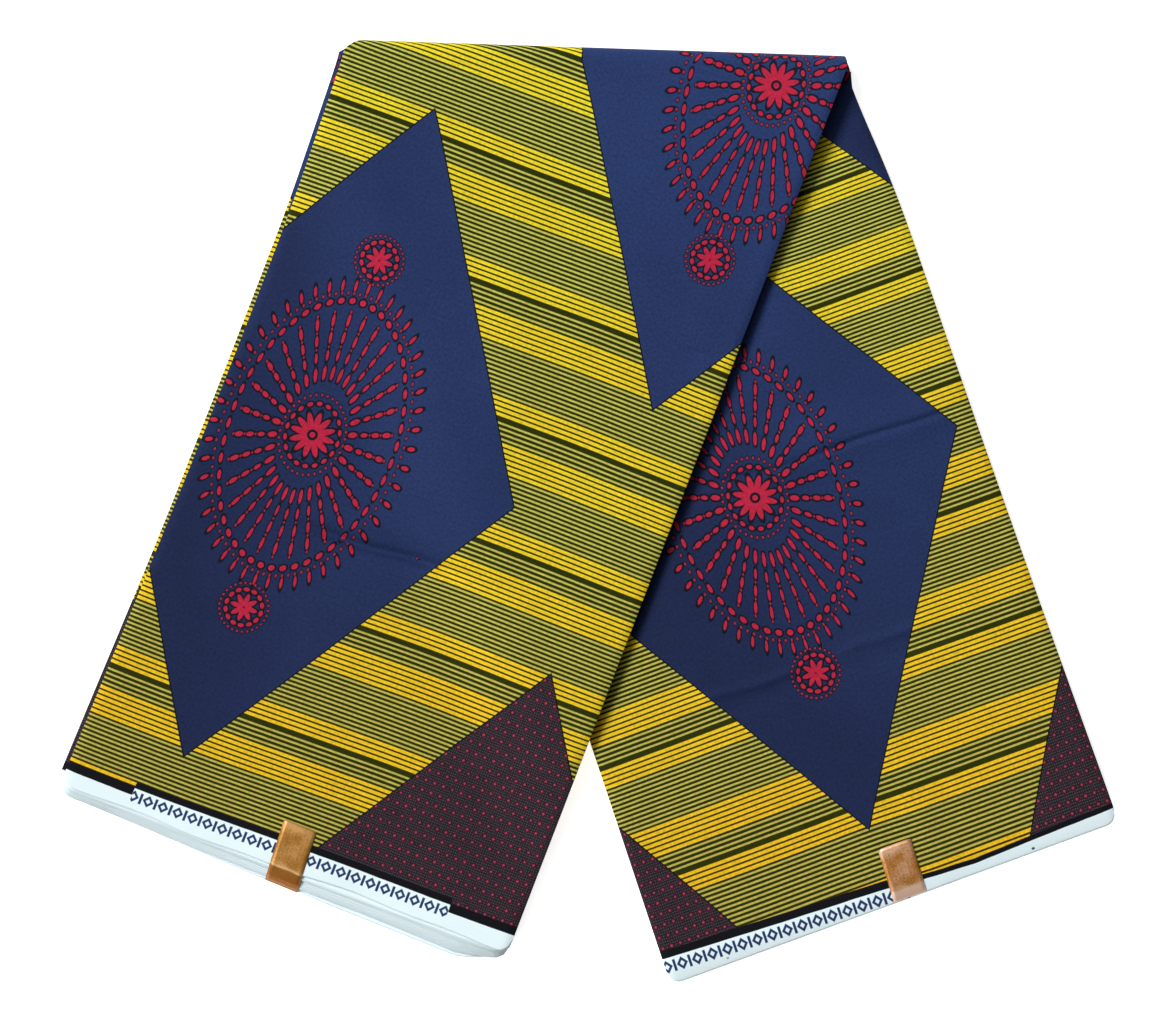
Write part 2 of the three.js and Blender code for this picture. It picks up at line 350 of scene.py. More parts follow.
    def plan(self, leg: Leg, share: np.ndarray, from_end: np.ndarray) -> np.ndarray:
        """Points of a leg in plan.

        Args:
            leg: The leg.
            share: How far across.
            from_end: Distance from the end of the longest ply.

        Returns:
            The leaving point plus the leg's direction times the distance along it, plus half
            a sine wave of bow to the right, less a bell curve of pinch at the right edge.
        """
        vector, length = self.run(leg, share)
        direction = vector / length[..., None]
        along = length + self.reach(leg, share) - from_end
        sideways = np.stack([-direction[..., 1], direction[..., 0]], -1)
        wave = np.sin(np.pi * np.clip(along / length, 0, 1) ** leg.bow_power)
        bow = (leg.bow[0] + (leg.bow[1] - leg.bow[0]) * share) * wave
        near = self.pinch_root + (1 - self.pinch_root) * np.clip(along / self.pinch_rise, 0, 1)
        near = near * np.exp(-((along / self.pinch_fade) ** 2))
        bow = bow - leg.pinch * near * np.clip(share, 0, 1) ** 8
        return self.leaving(leg, share) + direction * along[..., None] + sideways * bow[..., None]

    def joint(self, leg: Leg, share: np.ndarray) -> np.ndarray:
        """Where a leg's plan begins, at the bend: its leaving points with the pinch."""
        return self.plan(leg, share, self.length(leg, share))

    def height_share(self, plan: np.ndarray) -> np.ndarray:
        """How much of its height over the back leg the front leg keeps.

        Args:
            plan: Plan points.

        Returns:
            1 over the back leg and at the bend, falling to 0 beside and below them. The two
            falls join as 1 minus the product of what each leaves.
        """
        start = self.leaving(self.back, np.zeros(1))[0]
        edge = np.array(self.back.end_left) - start
        edge = edge / np.linalg.norm(edge)
        away = plan - start
        beyond = edge[1] * away[..., 0] - edge[0] * away[..., 1]
        below = -(away @ self.bend_axes()[1])
        beside = smoothstep(beyond, *self.drop)
        return 1 - beside * smoothstep(below, 0, self.bend_drop)

    def bulge(self, share: np.ndarray, along: np.ndarray) -> np.ndarray:
        """How far the front leg stands up off the back leg at the bend's right corner."""
        across = np.clip(share, 0, 1) ** 5
        return self.corner_rise * across * np.exp(-((along / self.corner_fade) ** 2))

    def lift(self, share: np.ndarray, from_end: np.ndarray) -> np.ndarray:
        """How far the cloth rises over the tucked end of a seal.

        Args:
            share: How far across.
            from_end: Distance from the leg's end.

        Returns:
            A flat-topped rise across, faded out along the leg.
        """
        across = self.width * share
        rise = smoothstep(across, self.lift_foot[0], self.lift_top[0])
        fall = 1 - smoothstep(across, self.lift_top[1], self.lift_foot[1])
        fade = 1 - smoothstep(from_end, self.lift_length, self.lift_fade)
        return self.seal_lift * np.minimum(rise, fall) * fade

    def droop(self, from_end: np.ndarray) -> np.ndarray:
        """How far the back leg's long top plies sink past the ends of the ones below."""
        return self.back_droop * np.clip(1 - from_end / self.back_fan, 0, 1) ** 2

    def relief(self, leg: Leg, share: np.ndarray, from_end: np.ndarray) -> np.ndarray:
        """Height of a leg's top face above flat.

        Args:
            leg: The leg.
            share: How far across.
            from_end: Distance from the leg's end.

        Returns:
            The sum of its creases and of a slow and a quick product of sine waves.
        """
        across = self.width * share
        total = sum(crease.height(across, from_end) for crease in leg.creases)
        slow = np.sin(31 * across + 9 * from_end + 1.3) * np.sin(17 * from_end - 11 * across)
        quick = np.sin(70 * from_end + 25 * across) * np.sin(52 * across - 18 * from_end + 0.7)
        return total + self.swell[0] * slow + self.swell[1] * quick

    def shoulder(self, share: np.ndarray) -> np.ndarray:
        """How far the top face has come down at its rounded side edges."""
        inside = self.width * np.clip(np.minimum(share, 1 - share), 0, 1)
        return self.shoulder_dip * np.clip(1 - inside / self.shoulder_width, 0, 1) ** 2.2

    def place(
        self,
        stretch: np.ndarray,
        value: np.ndarray,
        share: np.ndarray,
        depth: np.ndarray,
    ) -> np.ndarray:
        """Points in space.

        Args:
            stretch: The Stretch value of each point.
            value: Distance from the leg's end, or the angle turned round the bend.
            share: How far across the pack.
            depth: How deep under the outer face.

        Returns:
            On a leg its plan point at the ply's height, which the creases and shoulders change
            in proportion to its height in the pack. Round the bend a circle of the ply's own
            radius about the bend's line.
        """
        height = self.thickness - depth
        part = height / self.thickness
        front = self.plan(self.front, share, value)
        carried = (self.thickness + self.leg_gap) * self.height_share(front)
        faded = smoothstep(self.run(self.front, share)[1] - value, 0, self.crease_fade)
        surface = self.relief(self.front, share, value) * faded - self.shoulder(share)
        front_z = carried + height + part * surface + self.lift(share, value)
        front_z = front_z + self.bulge(share, self.length(self.front, share) - value)
        back = self.plan(self.back, share, value)
        surface = self.relief(self.back, share, value) - self.shoulder(share)
        back_z = depth + (1 - part) * surface + self.lift(share, value) - self.droop(value)
        radius = self.bend_radius - depth + self.shoulder(share) * (part - 1)
        turned = (value / np.pi)[..., None]
        start, finish = self.joint(self.front, share), self.joint(self.back, share)
        axis, normal = self.bend_axes()
        bend = start + turned * (finish - start)
        bend = bend + (radius * np.sin(value))[..., None] * normal
        bend = bend + self.tuck(share, value)[..., None] * axis
        bend_z = self.bend_radius + radius * np.cos(value)
        bend_z = bend_z + self.bulge(share, 0 * value) * (1 + np.cos(value)) / 2
        flat = by_stretch(stretch[..., None], front, bend, back)
        rise = by_stretch(stretch, front_z, bend_z, back_z)
        return np.concatenate([flat, rise[..., None]], -1)


PACK = BentPack()


# ---------------------------------------------------------------- meshes


def spaced(stops: Sequence[float], steps: Sequence[int]) -> np.ndarray:
    """Values that run through the stops, each span divided evenly into its number of steps."""
    parts = [np.linspace(a, b, n, endpoint=False) for a, b, n in zip(stops, stops[1:], steps)]
    return np.concatenate([*parts, [stops[-1]]])


def placed(name: str, data: bpy.types.ID) -> bpy.types.Object:
    """Puts a new object into the scene.

    Args:
        name: Its name.
        data: Its mesh, light or camera.

    Returns:
        The object.
    """
    item = bpy.data.objects.new(name, data)
    bpy.context.scene.collection.objects.link(item)
    return item


def grid_piece(name: str, points: np.ndarray, cloth: np.ndarray, wall: float) -> bpy.types.Object:
    """A sheet object from a grid of points.

    Args:
        name: The object's name.
        points: Rows by columns by 3, the middle of the sheet.
        cloth: Rows by columns by 2, each point's place on the flat cloth.
        wall: The sheet's thickness.

    Returns:
        The object, with its flat places in the UV map Cloth and a Solidify modifier.
    """
    rows, columns = points.shape[:2]
    index = np.arange(rows * columns).reshape(rows, columns)
    corners = [index[:-1, :-1], index[1:, :-1], index[1:, 1:], index[:-1, 1:]]
    quads = np.stack(corners, -1).reshape(-1, 4)
    mesh = bpy.data.meshes.new(name)
    mesh.vertices.add(rows * columns)
    mesh.vertices.foreach_set("co", points.astype(np.float32).ravel())
    mesh.loops.add(quads.size)
    mesh.loops.foreach_set("vertex_index", quads.astype(np.int32).ravel())
    mesh.polygons.add(len(quads))
    mesh.polygons.foreach_set("loop_start", np.arange(0, quads.size, 4, dtype=np.int32))
    mesh.update(calc_edges=True)
    layer = mesh.uv_layers.new(name="Cloth")
    layer.uv.foreach_set("vector", cloth.reshape(-1, 2)[quads.ravel()].astype(np.float32).ravel())
    mesh.shade_smooth()
    mesh.validate()
    piece = placed(name, mesh)
    solid = piece.modifiers.new("Wall", "SOLIDIFY")
    solid.thickness = wall
    solid.offset = 0
    return piece


# ---------------------------------------------------------------- materials


def add(tree: bpy.types.NodeTree, kind: str, settings: dict, inputs: dict) -> bpy.types.Node:
    """Adds a node.

    Args:
        tree: The node tree.
        kind: The node's type name.
        settings: Its properties by name.
        inputs: Its inputs by name or number, each a Field, a socket or a plain value.

    Returns:
        The node.
    """
    node = tree.nodes.new(kind)
    for key, value in settings.items():
        setattr(node, key, value)
    for key, value in inputs.items():
        source = value.socket if isinstance(value, Field) else value
        if isinstance(source, bpy.types.NodeSocket):
            tree.links.new(source, node.inputs[key])
        else:
            node.inputs[key].default_value = source
    return node


@dataclass(frozen=True)
class Field:
    """A number that varies over a surface: one output in a material's node tree."""

    tree: bpy.types.NodeTree
    socket: bpy.types.NodeSocket

    def math(self, operation: str, *others: "Field | float", clamp: bool = False) -> "Field":
        """This number worked on with others.

        Args:
            operation: The Math node's operation.
            others: The other numbers.
            clamp: Whether the result is kept between 0 and 1.

        Returns:
            The result.
        """
        values = dict(enumerate((self, *others)))
        settings = {"operation": operation, "use_clamp": clamp}
        return Field(self.tree, add(self.tree, "ShaderNodeMath", settings, values).outputs[0])

    def __add__(self, other: "Field | float") -> "Field":
        """The sum."""
        return self.math("ADD", other)

    def __sub__(self, other: "Field | float") -> "Field":
        """The difference."""
        return self.math("SUBTRACT", other)

    def __mul__(self, other: "Field | float") -> "Field":
        """The product."""
        return self.math("MULTIPLY", other)

    def __truediv__(self, other: "Field | float") -> "Field":
        """The quotient."""
        return self.math("DIVIDE", other)

    def __abs__(self) -> "Field":
        """The size without its sign."""
        return self.math("ABSOLUTE")

    def clamped(self, gain: float = 1) -> "Field":
        """This times the gain, kept between 0 and 1."""
        return self.math("MULTIPLY", gain, clamp=True)

    def inverse(self) -> "Field":
        """1 minus this."""
        return (self * -1) + 1

    def least(self, other: "Field | float") -> "Field":
        """The lower of the two."""
        return self.math("MINIMUM", other)

    def most(self, other: "Field | float") -> "Field":
        """The higher of the two."""
        return self.math("MAXIMUM", other)

    def below(self, limit: "Field | float", soft: float) -> "Field":
        """1 where this is under the limit and 0 over it, with an edge of the width soft."""
        over = self - limit
        return (over * (-1 / soft)).math("ADD", 0.5, clamp=True)

    def between(self, low: float, high: float, soft: float) -> "Field":
        """1 from low to high and 0 elsewhere, with soft edges."""
        return self.below(high, soft) * self.below(low, soft).inverse()

    def cell(self, period: float) -> "Field":
        """Distance from the middle of the nearest of evenly spaced cells, 0 at a multiple."""
        nearest = (self / period).math("ROUND")
        return self - nearest * period

    def within(self, period: float) -> "Field":
        """Distance past the last multiple of the period."""
        return self.math("FLOORED_MODULO", period)


def length_of(x: Field, y: Field) -> Field:
    """Distance from the origin: the root of the sum of squares."""
    return (x * x + y * y).math("SQRT")


def ellipse(x: Field, y: Field, half_x: "Field | float", half_y: "Field | float") -> Field:
    """About the distance from an ellipse's edge, negative inside.

    Args:
        x: Distance from its centre along the first axis.
        y: Distance along the second.
        half_x: Half the first axis.
        half_y: Half the second.

    Returns:
        The radius in half axes, less 1, times the shorter half axis.
    """
    scaled = length_of(x / half_x, y / half_y) - 1
    if isinstance(half_x, Field):
        return scaled * half_x.least(half_y)
    return scaled * min(half_x, half_y)


def linear(code: str) -> tuple[float, float, float, float]:
    """An sRGB colour as linear light.

    Args:
        code: Its hex code.

    Returns:
        Red, green and blue by the sRGB curve, and full opacity.
    """
    parts = [int(code[i : i + 2], 16) / 255 for i in (0, 2, 4)]
    light = [p / 12.92 if p <= 0.04045 else ((p + 0.055) / 1.055) ** 2.4 for p in parts]
    return (*light, 1.0)


def laid_over(
    share: Field, under: "bpy.types.NodeSocket | str", over: "bpy.types.NodeSocket | str"
) -> bpy.types.NodeSocket:
    """A dye laid over another.

    Args:
        share: How much of the upper colour shows.
        under: The lower colour, as a socket or an sRGB hex code.
        over: The upper colour, as either.

    Returns:
        The mixed colour's socket.
    """
    under, over = (linear(dye) if isinstance(dye, str) else dye for dye in (under, over))
    inputs = {0: share, 6: under, 7: over}
    return add(share.tree, "ShaderNodeMix", {"data_type": "RGBA"}, inputs).outputs[2]


def unevenness(
    tree: bpy.types.NodeTree, where: bpy.types.NodeSocket, scale: float, detail: float
) -> Field:
    """Smooth unevenness about 0, from -0.5 to 0.5.

    Args:
        tree: The node tree.
        where: The coordinates.
        scale: Waves in a unit of them.
        detail: How many finer octaves.

    Returns:
        The unevenness.
    """
    inputs = {"Vector": where, "Scale": scale, "Detail": detail, "Roughness": 0.55}
    node = add(tree, "ShaderNodeTexNoise", {}, inputs)
    return Field(tree, node.outputs["Fac"]) - 0.5


def empty_material(name: str) -> bpy.types.Material:
    """Makes a material without any nodes.

    Args:
        name: Its name.

    Returns:
        The material.
    """
    material = bpy.data.materials.new(name)
    material.use_nodes = True
    material.node_tree.nodes.clear()
    return material


def flat_place(tree: bpy.types.NodeTree) -> tuple[bpy.types.NodeSocket, Field, Field]:
    """Each point's place on the flat sheet, which its UV map Cloth holds.

    Args:
        tree: The node tree.

    Returns:
        The coordinates in metres, and each of the two in millimetres.
    """
    place = add(tree, "ShaderNodeUVMap", {"uv_map": "Cloth"}, {}).outputs[0]
    axes = add(tree, "ShaderNodeSeparateXYZ", {}, {0: place})
    first, second = (Field(tree, axes.outputs[order]) * 1000 for order in (0, 1))
    return place, first, second


def shade(tree: bpy.types.NodeTree, shading: dict) -> None:
    """Ends a material's tree in a surface shader with the given inputs."""
    shader = add(tree, "ShaderNodeBsdfPrincipled", {}, shading)
    add(tree, "ShaderNodeOutputMaterial", {}, {0: shader.outputs[0]})


@dataclass(frozen=True)
class PrintLayout:
    """Sizes of the repeat, in millimetres of flat cloth.

    u runs along the cloth's length and v across it, from one selvedge's border to the other's.

    Attributes:
        lozenge_half: Half a lozenge's diagonals, along u and v.
        lattice: Steps along u and v from one lozenge to the next row's.
        first_row: v of the first whole row's centres.
        printed: Width between the two borders.
        stripe_top: v of one stripe period's upper end.
        bold: Spacing of the bold lines.
        heavy: Width of the heavy dark line.
        thin: Spacing of the short run of thin lines.
        fine: Spacing of the long run of thin lines.
        counts: How many bold, thin, bold and fine lines a period has.
        middle_row: v of the middle row of lozenges.
        bold_width: Width of a bold line.
        thin_width: Width of a thin line.
        dot_cell: Spacing of the pin dots, along u and v.
        mark_step: Spacing of the marks on a selvedge.
        mark_half: Half a mark's diagonals, along u and v.
    """

    lozenge_half: tuple[float, float] = (144, 228)
    lattice: tuple[float, float] = (207, 321)
    first_row: float = 264
    printed: float = 1175
    stripe_top: float = 410.4
    bold: float = 3.3
    heavy: float = 2.2
    thin: float = 3.2
    fine: float = 2.93
    counts: tuple[int, int, int, int] = (4, 4, 6, 11)
    middle_row: float = 585
    bold_width: float = 2.1
    thin_width: float = 1.3
    dot_cell: tuple[float, float] = (6.2, 6.9)
    mark_step: float = 10.4
    mark_half: tuple[float, float] = (3.9, 4.1)


LAYOUT = PrintLayout()


@dataclass(frozen=True)
class PrintColours:
    """The dyes, as sRGB hex. The deep navy also stands for painted shade on the blue."""

    navy: str = "293A68"
    navy_deep_and_shade: str = "1F294B"
    maroon: str = "1F1D22"
    maroon_warm: str = "3D1D29"
    maroon_pale: str = "48454C"
    yellow: str = "EADA2C"
    gold: str = "EABC20"
    thin_line: str = "C3C358"
    thin_gold: str = "B9AC50"
    dark_line: str = "2B3106"
    warm_line: str = "3A2C0A"
    black: str = "121318"
    red: str = "B72541"
    red_dot: str = "982A40"
    dot: str = "9C5C72"
    selvedge: str = "EAFBFF"
    ink: str = "253768"


@dataclass(frozen=True)
class Margin:
    """What the border and the selvedge of a stretch of cloth are like, in millimetres.

    Attributes:
        panel: Where along u the border gives way to a white panel with a row of marks.
        tilts: Lines over u, each a height at 0 and a slope. The lowest of them is how far the
            selvedge has been shifted outward.
        cut: How far the panel cuts into the border.
        border: Width of the dark border outside the panel and beside it.
    """

    panel: tuple[float, float]
    tilts: tuple[tuple[float, float], ...]
    cut: float = 5.0
    border: tuple[float, float] = (6.0, 4.5)


@dataclass(frozen=True)
class Medallion:
    """A symmetrical flower medallion: petals, bead rings, radiating bead strings and rosettes.

    Attributes:
        strings: Half axes of the ellipse that the strings fill.
        garland: Half axes of the bead garland round them.
        rays: How many strings.
        spacing: Spacing of the beads on a string.
        beads_from: Where on a string its run of beads begins.
        tip: Distance along v from the centre to each of the two rosettes.
    """

    strings: tuple[float, float] = (53, 88)
    garland: tuple[float, float] = (56, 92)
    rays: int = 30
    spacing: float = 9.6
    beads_from: float = 43.8
    tip: float = 122

    def ring(
        self, x: Field, y: Field, half: tuple[float, float], count: int, bead: tuple[float, float]
    ) -> Field:
        """Beads strung on an ellipse.

        Args:
            x: Distance from the centre along u.
            y: Distance from it along v.
            half: The ellipse's half axes.
            count: How many beads.
            bead: Half a bead's length and width.

        Returns:
            Distance from the nearest bead's edge.
        """
        angle = (y / half[1]).math("ARCTAN2", x / half[0])
        mean = sum(half) / 2
        along = angle.cell(2 * math.pi / count) * mean
        off = (length_of(x / half[0], y / half[1]) - 1) * mean
        return ellipse(along, off, *bead)

    def petals(
        self, x: Field, y: Field, count: int, reach: float, size: tuple[float, float]
    ) -> Field:
        """A ring of petals.

        Args:
            x: Distance from the centre along u.
            y: Distance from it along v.
            count: How many petals.
            reach: Distance from the centre to a petal's middle.
            size: Half a petal's length and width.

        Returns:
            Distance from the nearest petal's edge: one ellipse, repeated round the centre.
        """
        turn = y.math("ARCTAN2", x).cell(2 * math.pi / count)
        radius = length_of(x, y)
        along = radius * turn.math("COSINE") - reach
        return ellipse(along, radius * turn.math("SINE"), *size)

    def rays_at(
        self, x: Field, y: Field, start: float, count: int, bead: tuple[float, float]
    ) -> Field:
        """Straight strings of beads that radiate from the centre.

        Args:
            x: Distance from the centre along u.
            y: Distance from it along v.
            start: Where along its string the first bead is.
            count: How many beads a string has.
            bead: Half a bead's length and width.

        Returns:
            Distance from the nearest bead's edge.
        """
        half = self.strings
        mean = sum(half) / 2
        out = length_of(x / half[0], y / half[1]) * mean
        turn = (y / half[1]).math("ARCTAN2", x / half[0]).cell(2 * math.pi / self.rays)
        along = (out - start).cell(self.spacing)
        swell = (out * (0.6 / mean)) + 0.5
        beads = ellipse(along, turn * out, swell * bead[0], swell * bead[1])
        first, last = start - self.spacing / 2, start + (count - 0.5) * self.spacing
        return beads + out.between(first, last, 0.02).inverse() * 50

    def red(self, x: Field, y: Field) -> Field:
        """The shapes that are printed in red.

        Args:
            x: Distance from the centre along u.
            y: Distance from it along v.

        Returns:
            Distance from the nearest one's edge, negative inside.
        """
        tip_y = abs(y) - self.tip
        heart = self.petals(x, y, 12, 8.8, (6.2, 2.0)).most(length_of(x, y) * -1 + 3.6)
        shapes = (
            self.ring(x, y, (17.8, 21), 18, (2.0, 1.3)),
            self.rays_at(x, y, 34.0, 1, (4.9, 1.9)),
            self.rays_at(x, y, self.beads_from, 3, (3.3, 1.35)),
            self.ring(x, y, self.garland, 48, (2.7, 1.6)),
            self.ring(x, y, (66, 102), 48, (1.2, 3.1)),
            self.petals(x, tip_y, 8, 4.9, (4.3, 1.6)),
            self.ring(x, tip_y, (12.0, 12.0), 14, (2.0, 1.35)),
        )
        for shape in shapes:
            heart = heart.least(shape)
        return heart.least(length_of(x, y) - 1.9)

    def dotted(self, x: Field, y: Field) -> Field:
        """The small dots that are printed in dark red.

        Args:
            x: Distance from the centre along u.
            y: Distance from it along v.

        Returns:
            Distance from the nearest one's edge, negative inside.
        """
        tip_y = abs(y) - self.tip
        dots = self.rays_at(x, y, self.beads_from + self.spacing / 2, 3, (0.85, 0.8))
        dots = dots.least(self.ring(x, y, (61, 97), 96, (0.95, 0.95)))
        dots = dots.least(self.ring(x, y, (21.6, 27), 36, (0.9, 0.9)))
        return dots.least(self.ring(x, tip_y, (16.2, 16.2), 30, (0.8, 0.8)))


class WaxPrint:
    """Wax print cotton, plain woven, and dyed through a wax resist before the red is printed.

    The dyes sink in, so the cloth looks matt, with deep colours, soft edges and stray spots. It
    has lozenges over pinstripes, and a medallion in each dark blue lozenge. Its pattern is
    worked out from the flat place of each point, so it follows the folds.

    Attributes:
        edge: Softness of the printed shapes' edges, in millimetres.
        black_rim: How far a lozenge's black outline reaches out of and into it.
    """

    edge = 0.28
    black_rim = (0.5, -0.35)

    def __init__(self, name: str, margin: Margin, colours: PrintColours) -> None:
        """Builds the material.

        Args:
            name: Its name.
            margin: Its border and selvedge.
            colours: The dyes.
        """
        self.material = empty_material(name)
        self.tree = self.material.node_tree
        self.margin = margin
        self.colours = colours
        self.cloth, self.u, self.v = flat_place(self.tree)
        self.build()

    def moved(self, operation: str, *amounts: float) -> bpy.types.NodeSocket:
        """The cloth's coordinates, shifted or scaled.

        Args:
            operation: What is done to them.
            amounts: By how much, along u, v and the third axis.

        Returns:
            The changed coordinates.
        """
        settings = {"operation": operation}
        inputs = {0: self.cloth, 1: amounts}
        return add(self.tree, "ShaderNodeVectorMath", settings, inputs).outputs[0]

    def wobble(self, scale: float, amount: float, shift: float) -> Field:
        """Slow noise of an amount in millimetres, at a number of waves a metre."""
        return unevenness(self.tree, self.moved("ADD", shift, shift, 0), scale, 1) * (2 * amount)

    def lozenges(self, u: Field, v: Field) -> tuple[Field, Field, Field]:
        """The nearest lozenge.

        Args:
            u: Place along the cloth.
            v: Place across it.

        Returns:
            Distances from its centre along u and v, and from its edge, negative inside. Each
            of two rectangular lattices gives its nearest centre, and the nearer one is kept.
        """
        half_u, half_v = LAYOUT.lozenge_half
        step_u, step_v = LAYOUT.lattice
        found = []
        for shift in (0, 1):
            du = (u - shift * step_u).cell(2 * step_u)
            dv = (v - (LAYOUT.first_row + shift * step_v)).cell(2 * step_v)
            found.append((du, dv, abs(du) / half_u + abs(dv) / half_v))
        first, second = found
        pick = second[2].math("LESS_THAN", first[2])
        du = first[0] + (second[0] - first[0]) * pick
        dv = first[1] + (second[1] - first[1]) * pick
        slope = half_u * half_v / math.hypot(half_u, half_v)
        return du, dv, (first[2].least(second[2]) - 1) * slope

    def stripes(self, v: Field) -> bpy.types.NodeSocket:
        """The pinstripes: runs of bold and of thin yellow lines on dark.

        Args:
            v: Place across the cloth.

        Returns:
            Their colour there.
        """
        dyes, counts = self.colours, LAYOUT.counts
        spacings = (LAYOUT.bold, LAYOUT.thin, LAYOUT.bold, LAYOUT.fine)
        widths = (LAYOUT.bold_width, LAYOUT.thin_width) * 2
        period = sum(n * s for n, s in zip(counts, spacings)) + LAYOUT.heavy
        past = (v * -1 + LAYOUT.stripe_top).within(period)
        # The yellow is thinner in streaks that run along the lines.
        worn = unevenness(self.tree, self.moved("MULTIPLY", 9, 240, 1), 1, 2) + 0.56
        worn = worn.clamped(2.9)
        colour = dyes.dark_line
        warm = self.warmth()
        start = 0.0
        for order, (count, spacing, width) in enumerate(zip(counts, spacings, widths)):
            is_bold = order % 2 == 0
            run = past.between(start, start + spacing * count, 0.02)
            centre = (past - (start + spacing / 2)).cell(spacing)
            line = abs(centre).below(width / 2, self.edge) * run
            if is_bold:
                colour = laid_over(run * warm, colour, dyes.warm_line)
                dye = laid_over(warm, dyes.yellow, dyes.gold)
                colour = laid_over(line * worn.most(0.75), colour, dye)
            else:
                dye = laid_over(warm, dyes.thin_line, dyes.thin_gold)
                colour = laid_over(line * worn.most(0.6), colour, dye)
            start += count * spacing + (LAYOUT.heavy if order == 0 else 0)
        return colour

    def pin_dots(self, u: Field, v: Field) -> bpy.types.NodeSocket:
        """The dotted ground: dots in rows, a dark ring round each, and fine specks.

        Args:
            u: Place along the cloth.
            v: Place across it.

        Returns:
            Its colour there.
        """
        dyes, (cell_u, cell_v) = self.colours, LAYOUT.dot_cell
        near = length_of(u.cell(cell_u), v.cell(cell_v))
        fine = length_of(u.cell(cell_u / 4), v.cell(cell_v / 4))
        uneven = (unevenness(self.tree, self.cloth, 130, 1) * 2.4 + 0.75).clamped()
        halo = near.below(2.9, 1.3) * uneven
        colour = laid_over(halo, dyes.maroon, dyes.maroon_warm)
        specks = fine.below(0.45, 0.4) * near.below(1.7, 0.6).inverse()
        colour = laid_over(specks, colour, dyes.maroon_pale)
        colour = laid_over(near.below(1.75, 0.6) * 0.8, colour, dyes.black)
        colour = laid_over(near.below(1.1, 0.7) * (uneven * 0.4 + 0.35), colour, dyes.red_dot)
        return laid_over(near.below(0.5, 0.6) * 0.65, colour, dyes.dot)

    def navy_ground(self, du: Field, dv: Field) -> bpy.types.NodeSocket:
        """The dark blue lozenge, with its medallion in red with black outlines.

        Args:
            du: Distance from its centre along u.
            dv: Distance from it along v.

        Returns:
            Its colour there.
        """
        dyes, medallion = self.colours, Medallion()
        depth = unevenness(self.tree, self.cloth, 7, 2) * 0.8 + self.toward_edges() * 1.1 - 0.15
        # Painted shade: the blue is darkened in a band across the back leg next to the bend, where
        # the front leg's raised corner shades it, and towards the cloth's first edge, along the
        # legs' left sides.
        painted_shade_band = self.u.between(125, 400, 60) * self.v.between(660, 730, 60)
        depth = (depth + self.u.below(-10, 110) * 0.5 + painted_shade_band * 1.1).clamped()
        colour = laid_over(depth, dyes.navy, dyes.navy_deep_and_shade)
        red, dotted = medallion.red(du, dv), medallion.dotted(du, dv)
        colour = laid_over(red.below(1.0, self.edge) * 0.92, colour, dyes.black)
        colour = laid_over(dotted.below(0.7, self.edge) * 0.8, colour, dyes.black)
        colour = laid_over(dotted.below(0, self.edge), colour, dyes.red_dot)
        return laid_over(red.below(0, self.edge), colour, dyes.red)

    def toward_edges(self) -> Field:
        """How far out from the cloth's middle line a point lies, 1 at the selvedges."""
        middle = LAYOUT.printed / 2
        return abs(self.v - middle) / middle

    def warmth(self) -> Field:
        """The yellow dye's drift: lemon along the middle, golden towards the selvedges."""
        drift = unevenness(self.tree, self.cloth, 6, 2) * 0.9
        return (self.toward_edges() * 1.25 + drift).clamped(0.8)

    def marks(self, u: Field, from_edge: Field) -> Field:
        """A row of small lozenges and bars in the white panel.

        Args:
            u: Place along the cloth.
            from_edge: Distance from the border's outer edge, inwards.

        Returns:
            1 on a mark and 0 off it.
        """
        step, (half_u, half_v) = LAYOUT.mark_step, LAYOUT.mark_half
        across = from_edge - (self.margin.cut - 5.3)
        diamond = abs(u.cell(step)) / half_u + abs(across) / half_v
        hollow = (abs(diamond - 0.70) - 0.28).below(0, 0.16)
        bar = (abs((u - step / 2).cell(step)) - 0.9).most(abs(across) - 3.6)
        return hollow.most(bar.below(0, 0.3))

    def build(self) -> None:
        """Joins the parts of the print, from the ground up, into one surface."""
        dyes, margin = self.colours, self.margin
        u = self.u + self.wobble(14, 0.55, 0.0)
        v = self.v + self.wobble(11, 0.45, 3.0)
        du, dv, edge = self.lozenges(u, v)
        # The rows of lozenges that lie far from the middle one have the dotted ground.
        is_maroon = abs((v - dv) - LAYOUT.middle_row).math("GREATER_THAN", 480)
        field = laid_over(is_maroon, self.navy_ground(du, dv), self.pin_dots(u, v))
        outer_rim, inner_rim = self.black_rim
        colour = laid_over(edge.below(outer_rim, self.edge), self.stripes(v), dyes.black)
        colour = laid_over(edge.below(inner_rim, self.edge), colour, field)
        outward, *others = (self.u * slope + height for height, slope in margin.tilts)
        for line in others:
            outward = outward.least(line)
        from_edge = self.v.least(self.v * -1 + LAYOUT.printed) + outward
        ragged = from_edge + self.wobble(60, 0.25, 7.0)
        in_panel = self.u.between(*margin.panel, 0.3)
        wide, beside = margin.border
        dark = ragged - in_panel * (margin.cut + beside - wide)
        colour = laid_over(dark.below(wide, self.edge), self.faded(colour), dyes.black)
        white = (ragged - in_panel * margin.cut).below(0, self.edge)
        colour = laid_over(white, colour, dyes.selvedge)
        inked = (self.marks(self.u, from_edge) * in_panel).most(self.specks())
        colour = laid_over(inked * white, colour, dyes.ink)
        self.finish(colour)

    def specks(self) -> Field:
        """A few stray spots of ink, as wax that cracks lets through.

        Returns:
            1 on a spot and 0 off it.
        """
        inputs = {"Vector": self.moved("MULTIPLY", 70, 105, 1), "Scale": 1.0}
        cells = add(self.tree, "ShaderNodeTexVoronoi", {}, inputs)
        near = Field(self.tree, cells.outputs["Distance"])
        tone = add(self.tree, "ShaderNodeSeparateXYZ", {}, {0: cells.outputs["Color"]})
        chosen = Field(self.tree, tone.outputs[0]).math("GREATER_THAN", 0.66)
        return near.below(0.08, 0.05) * chosen

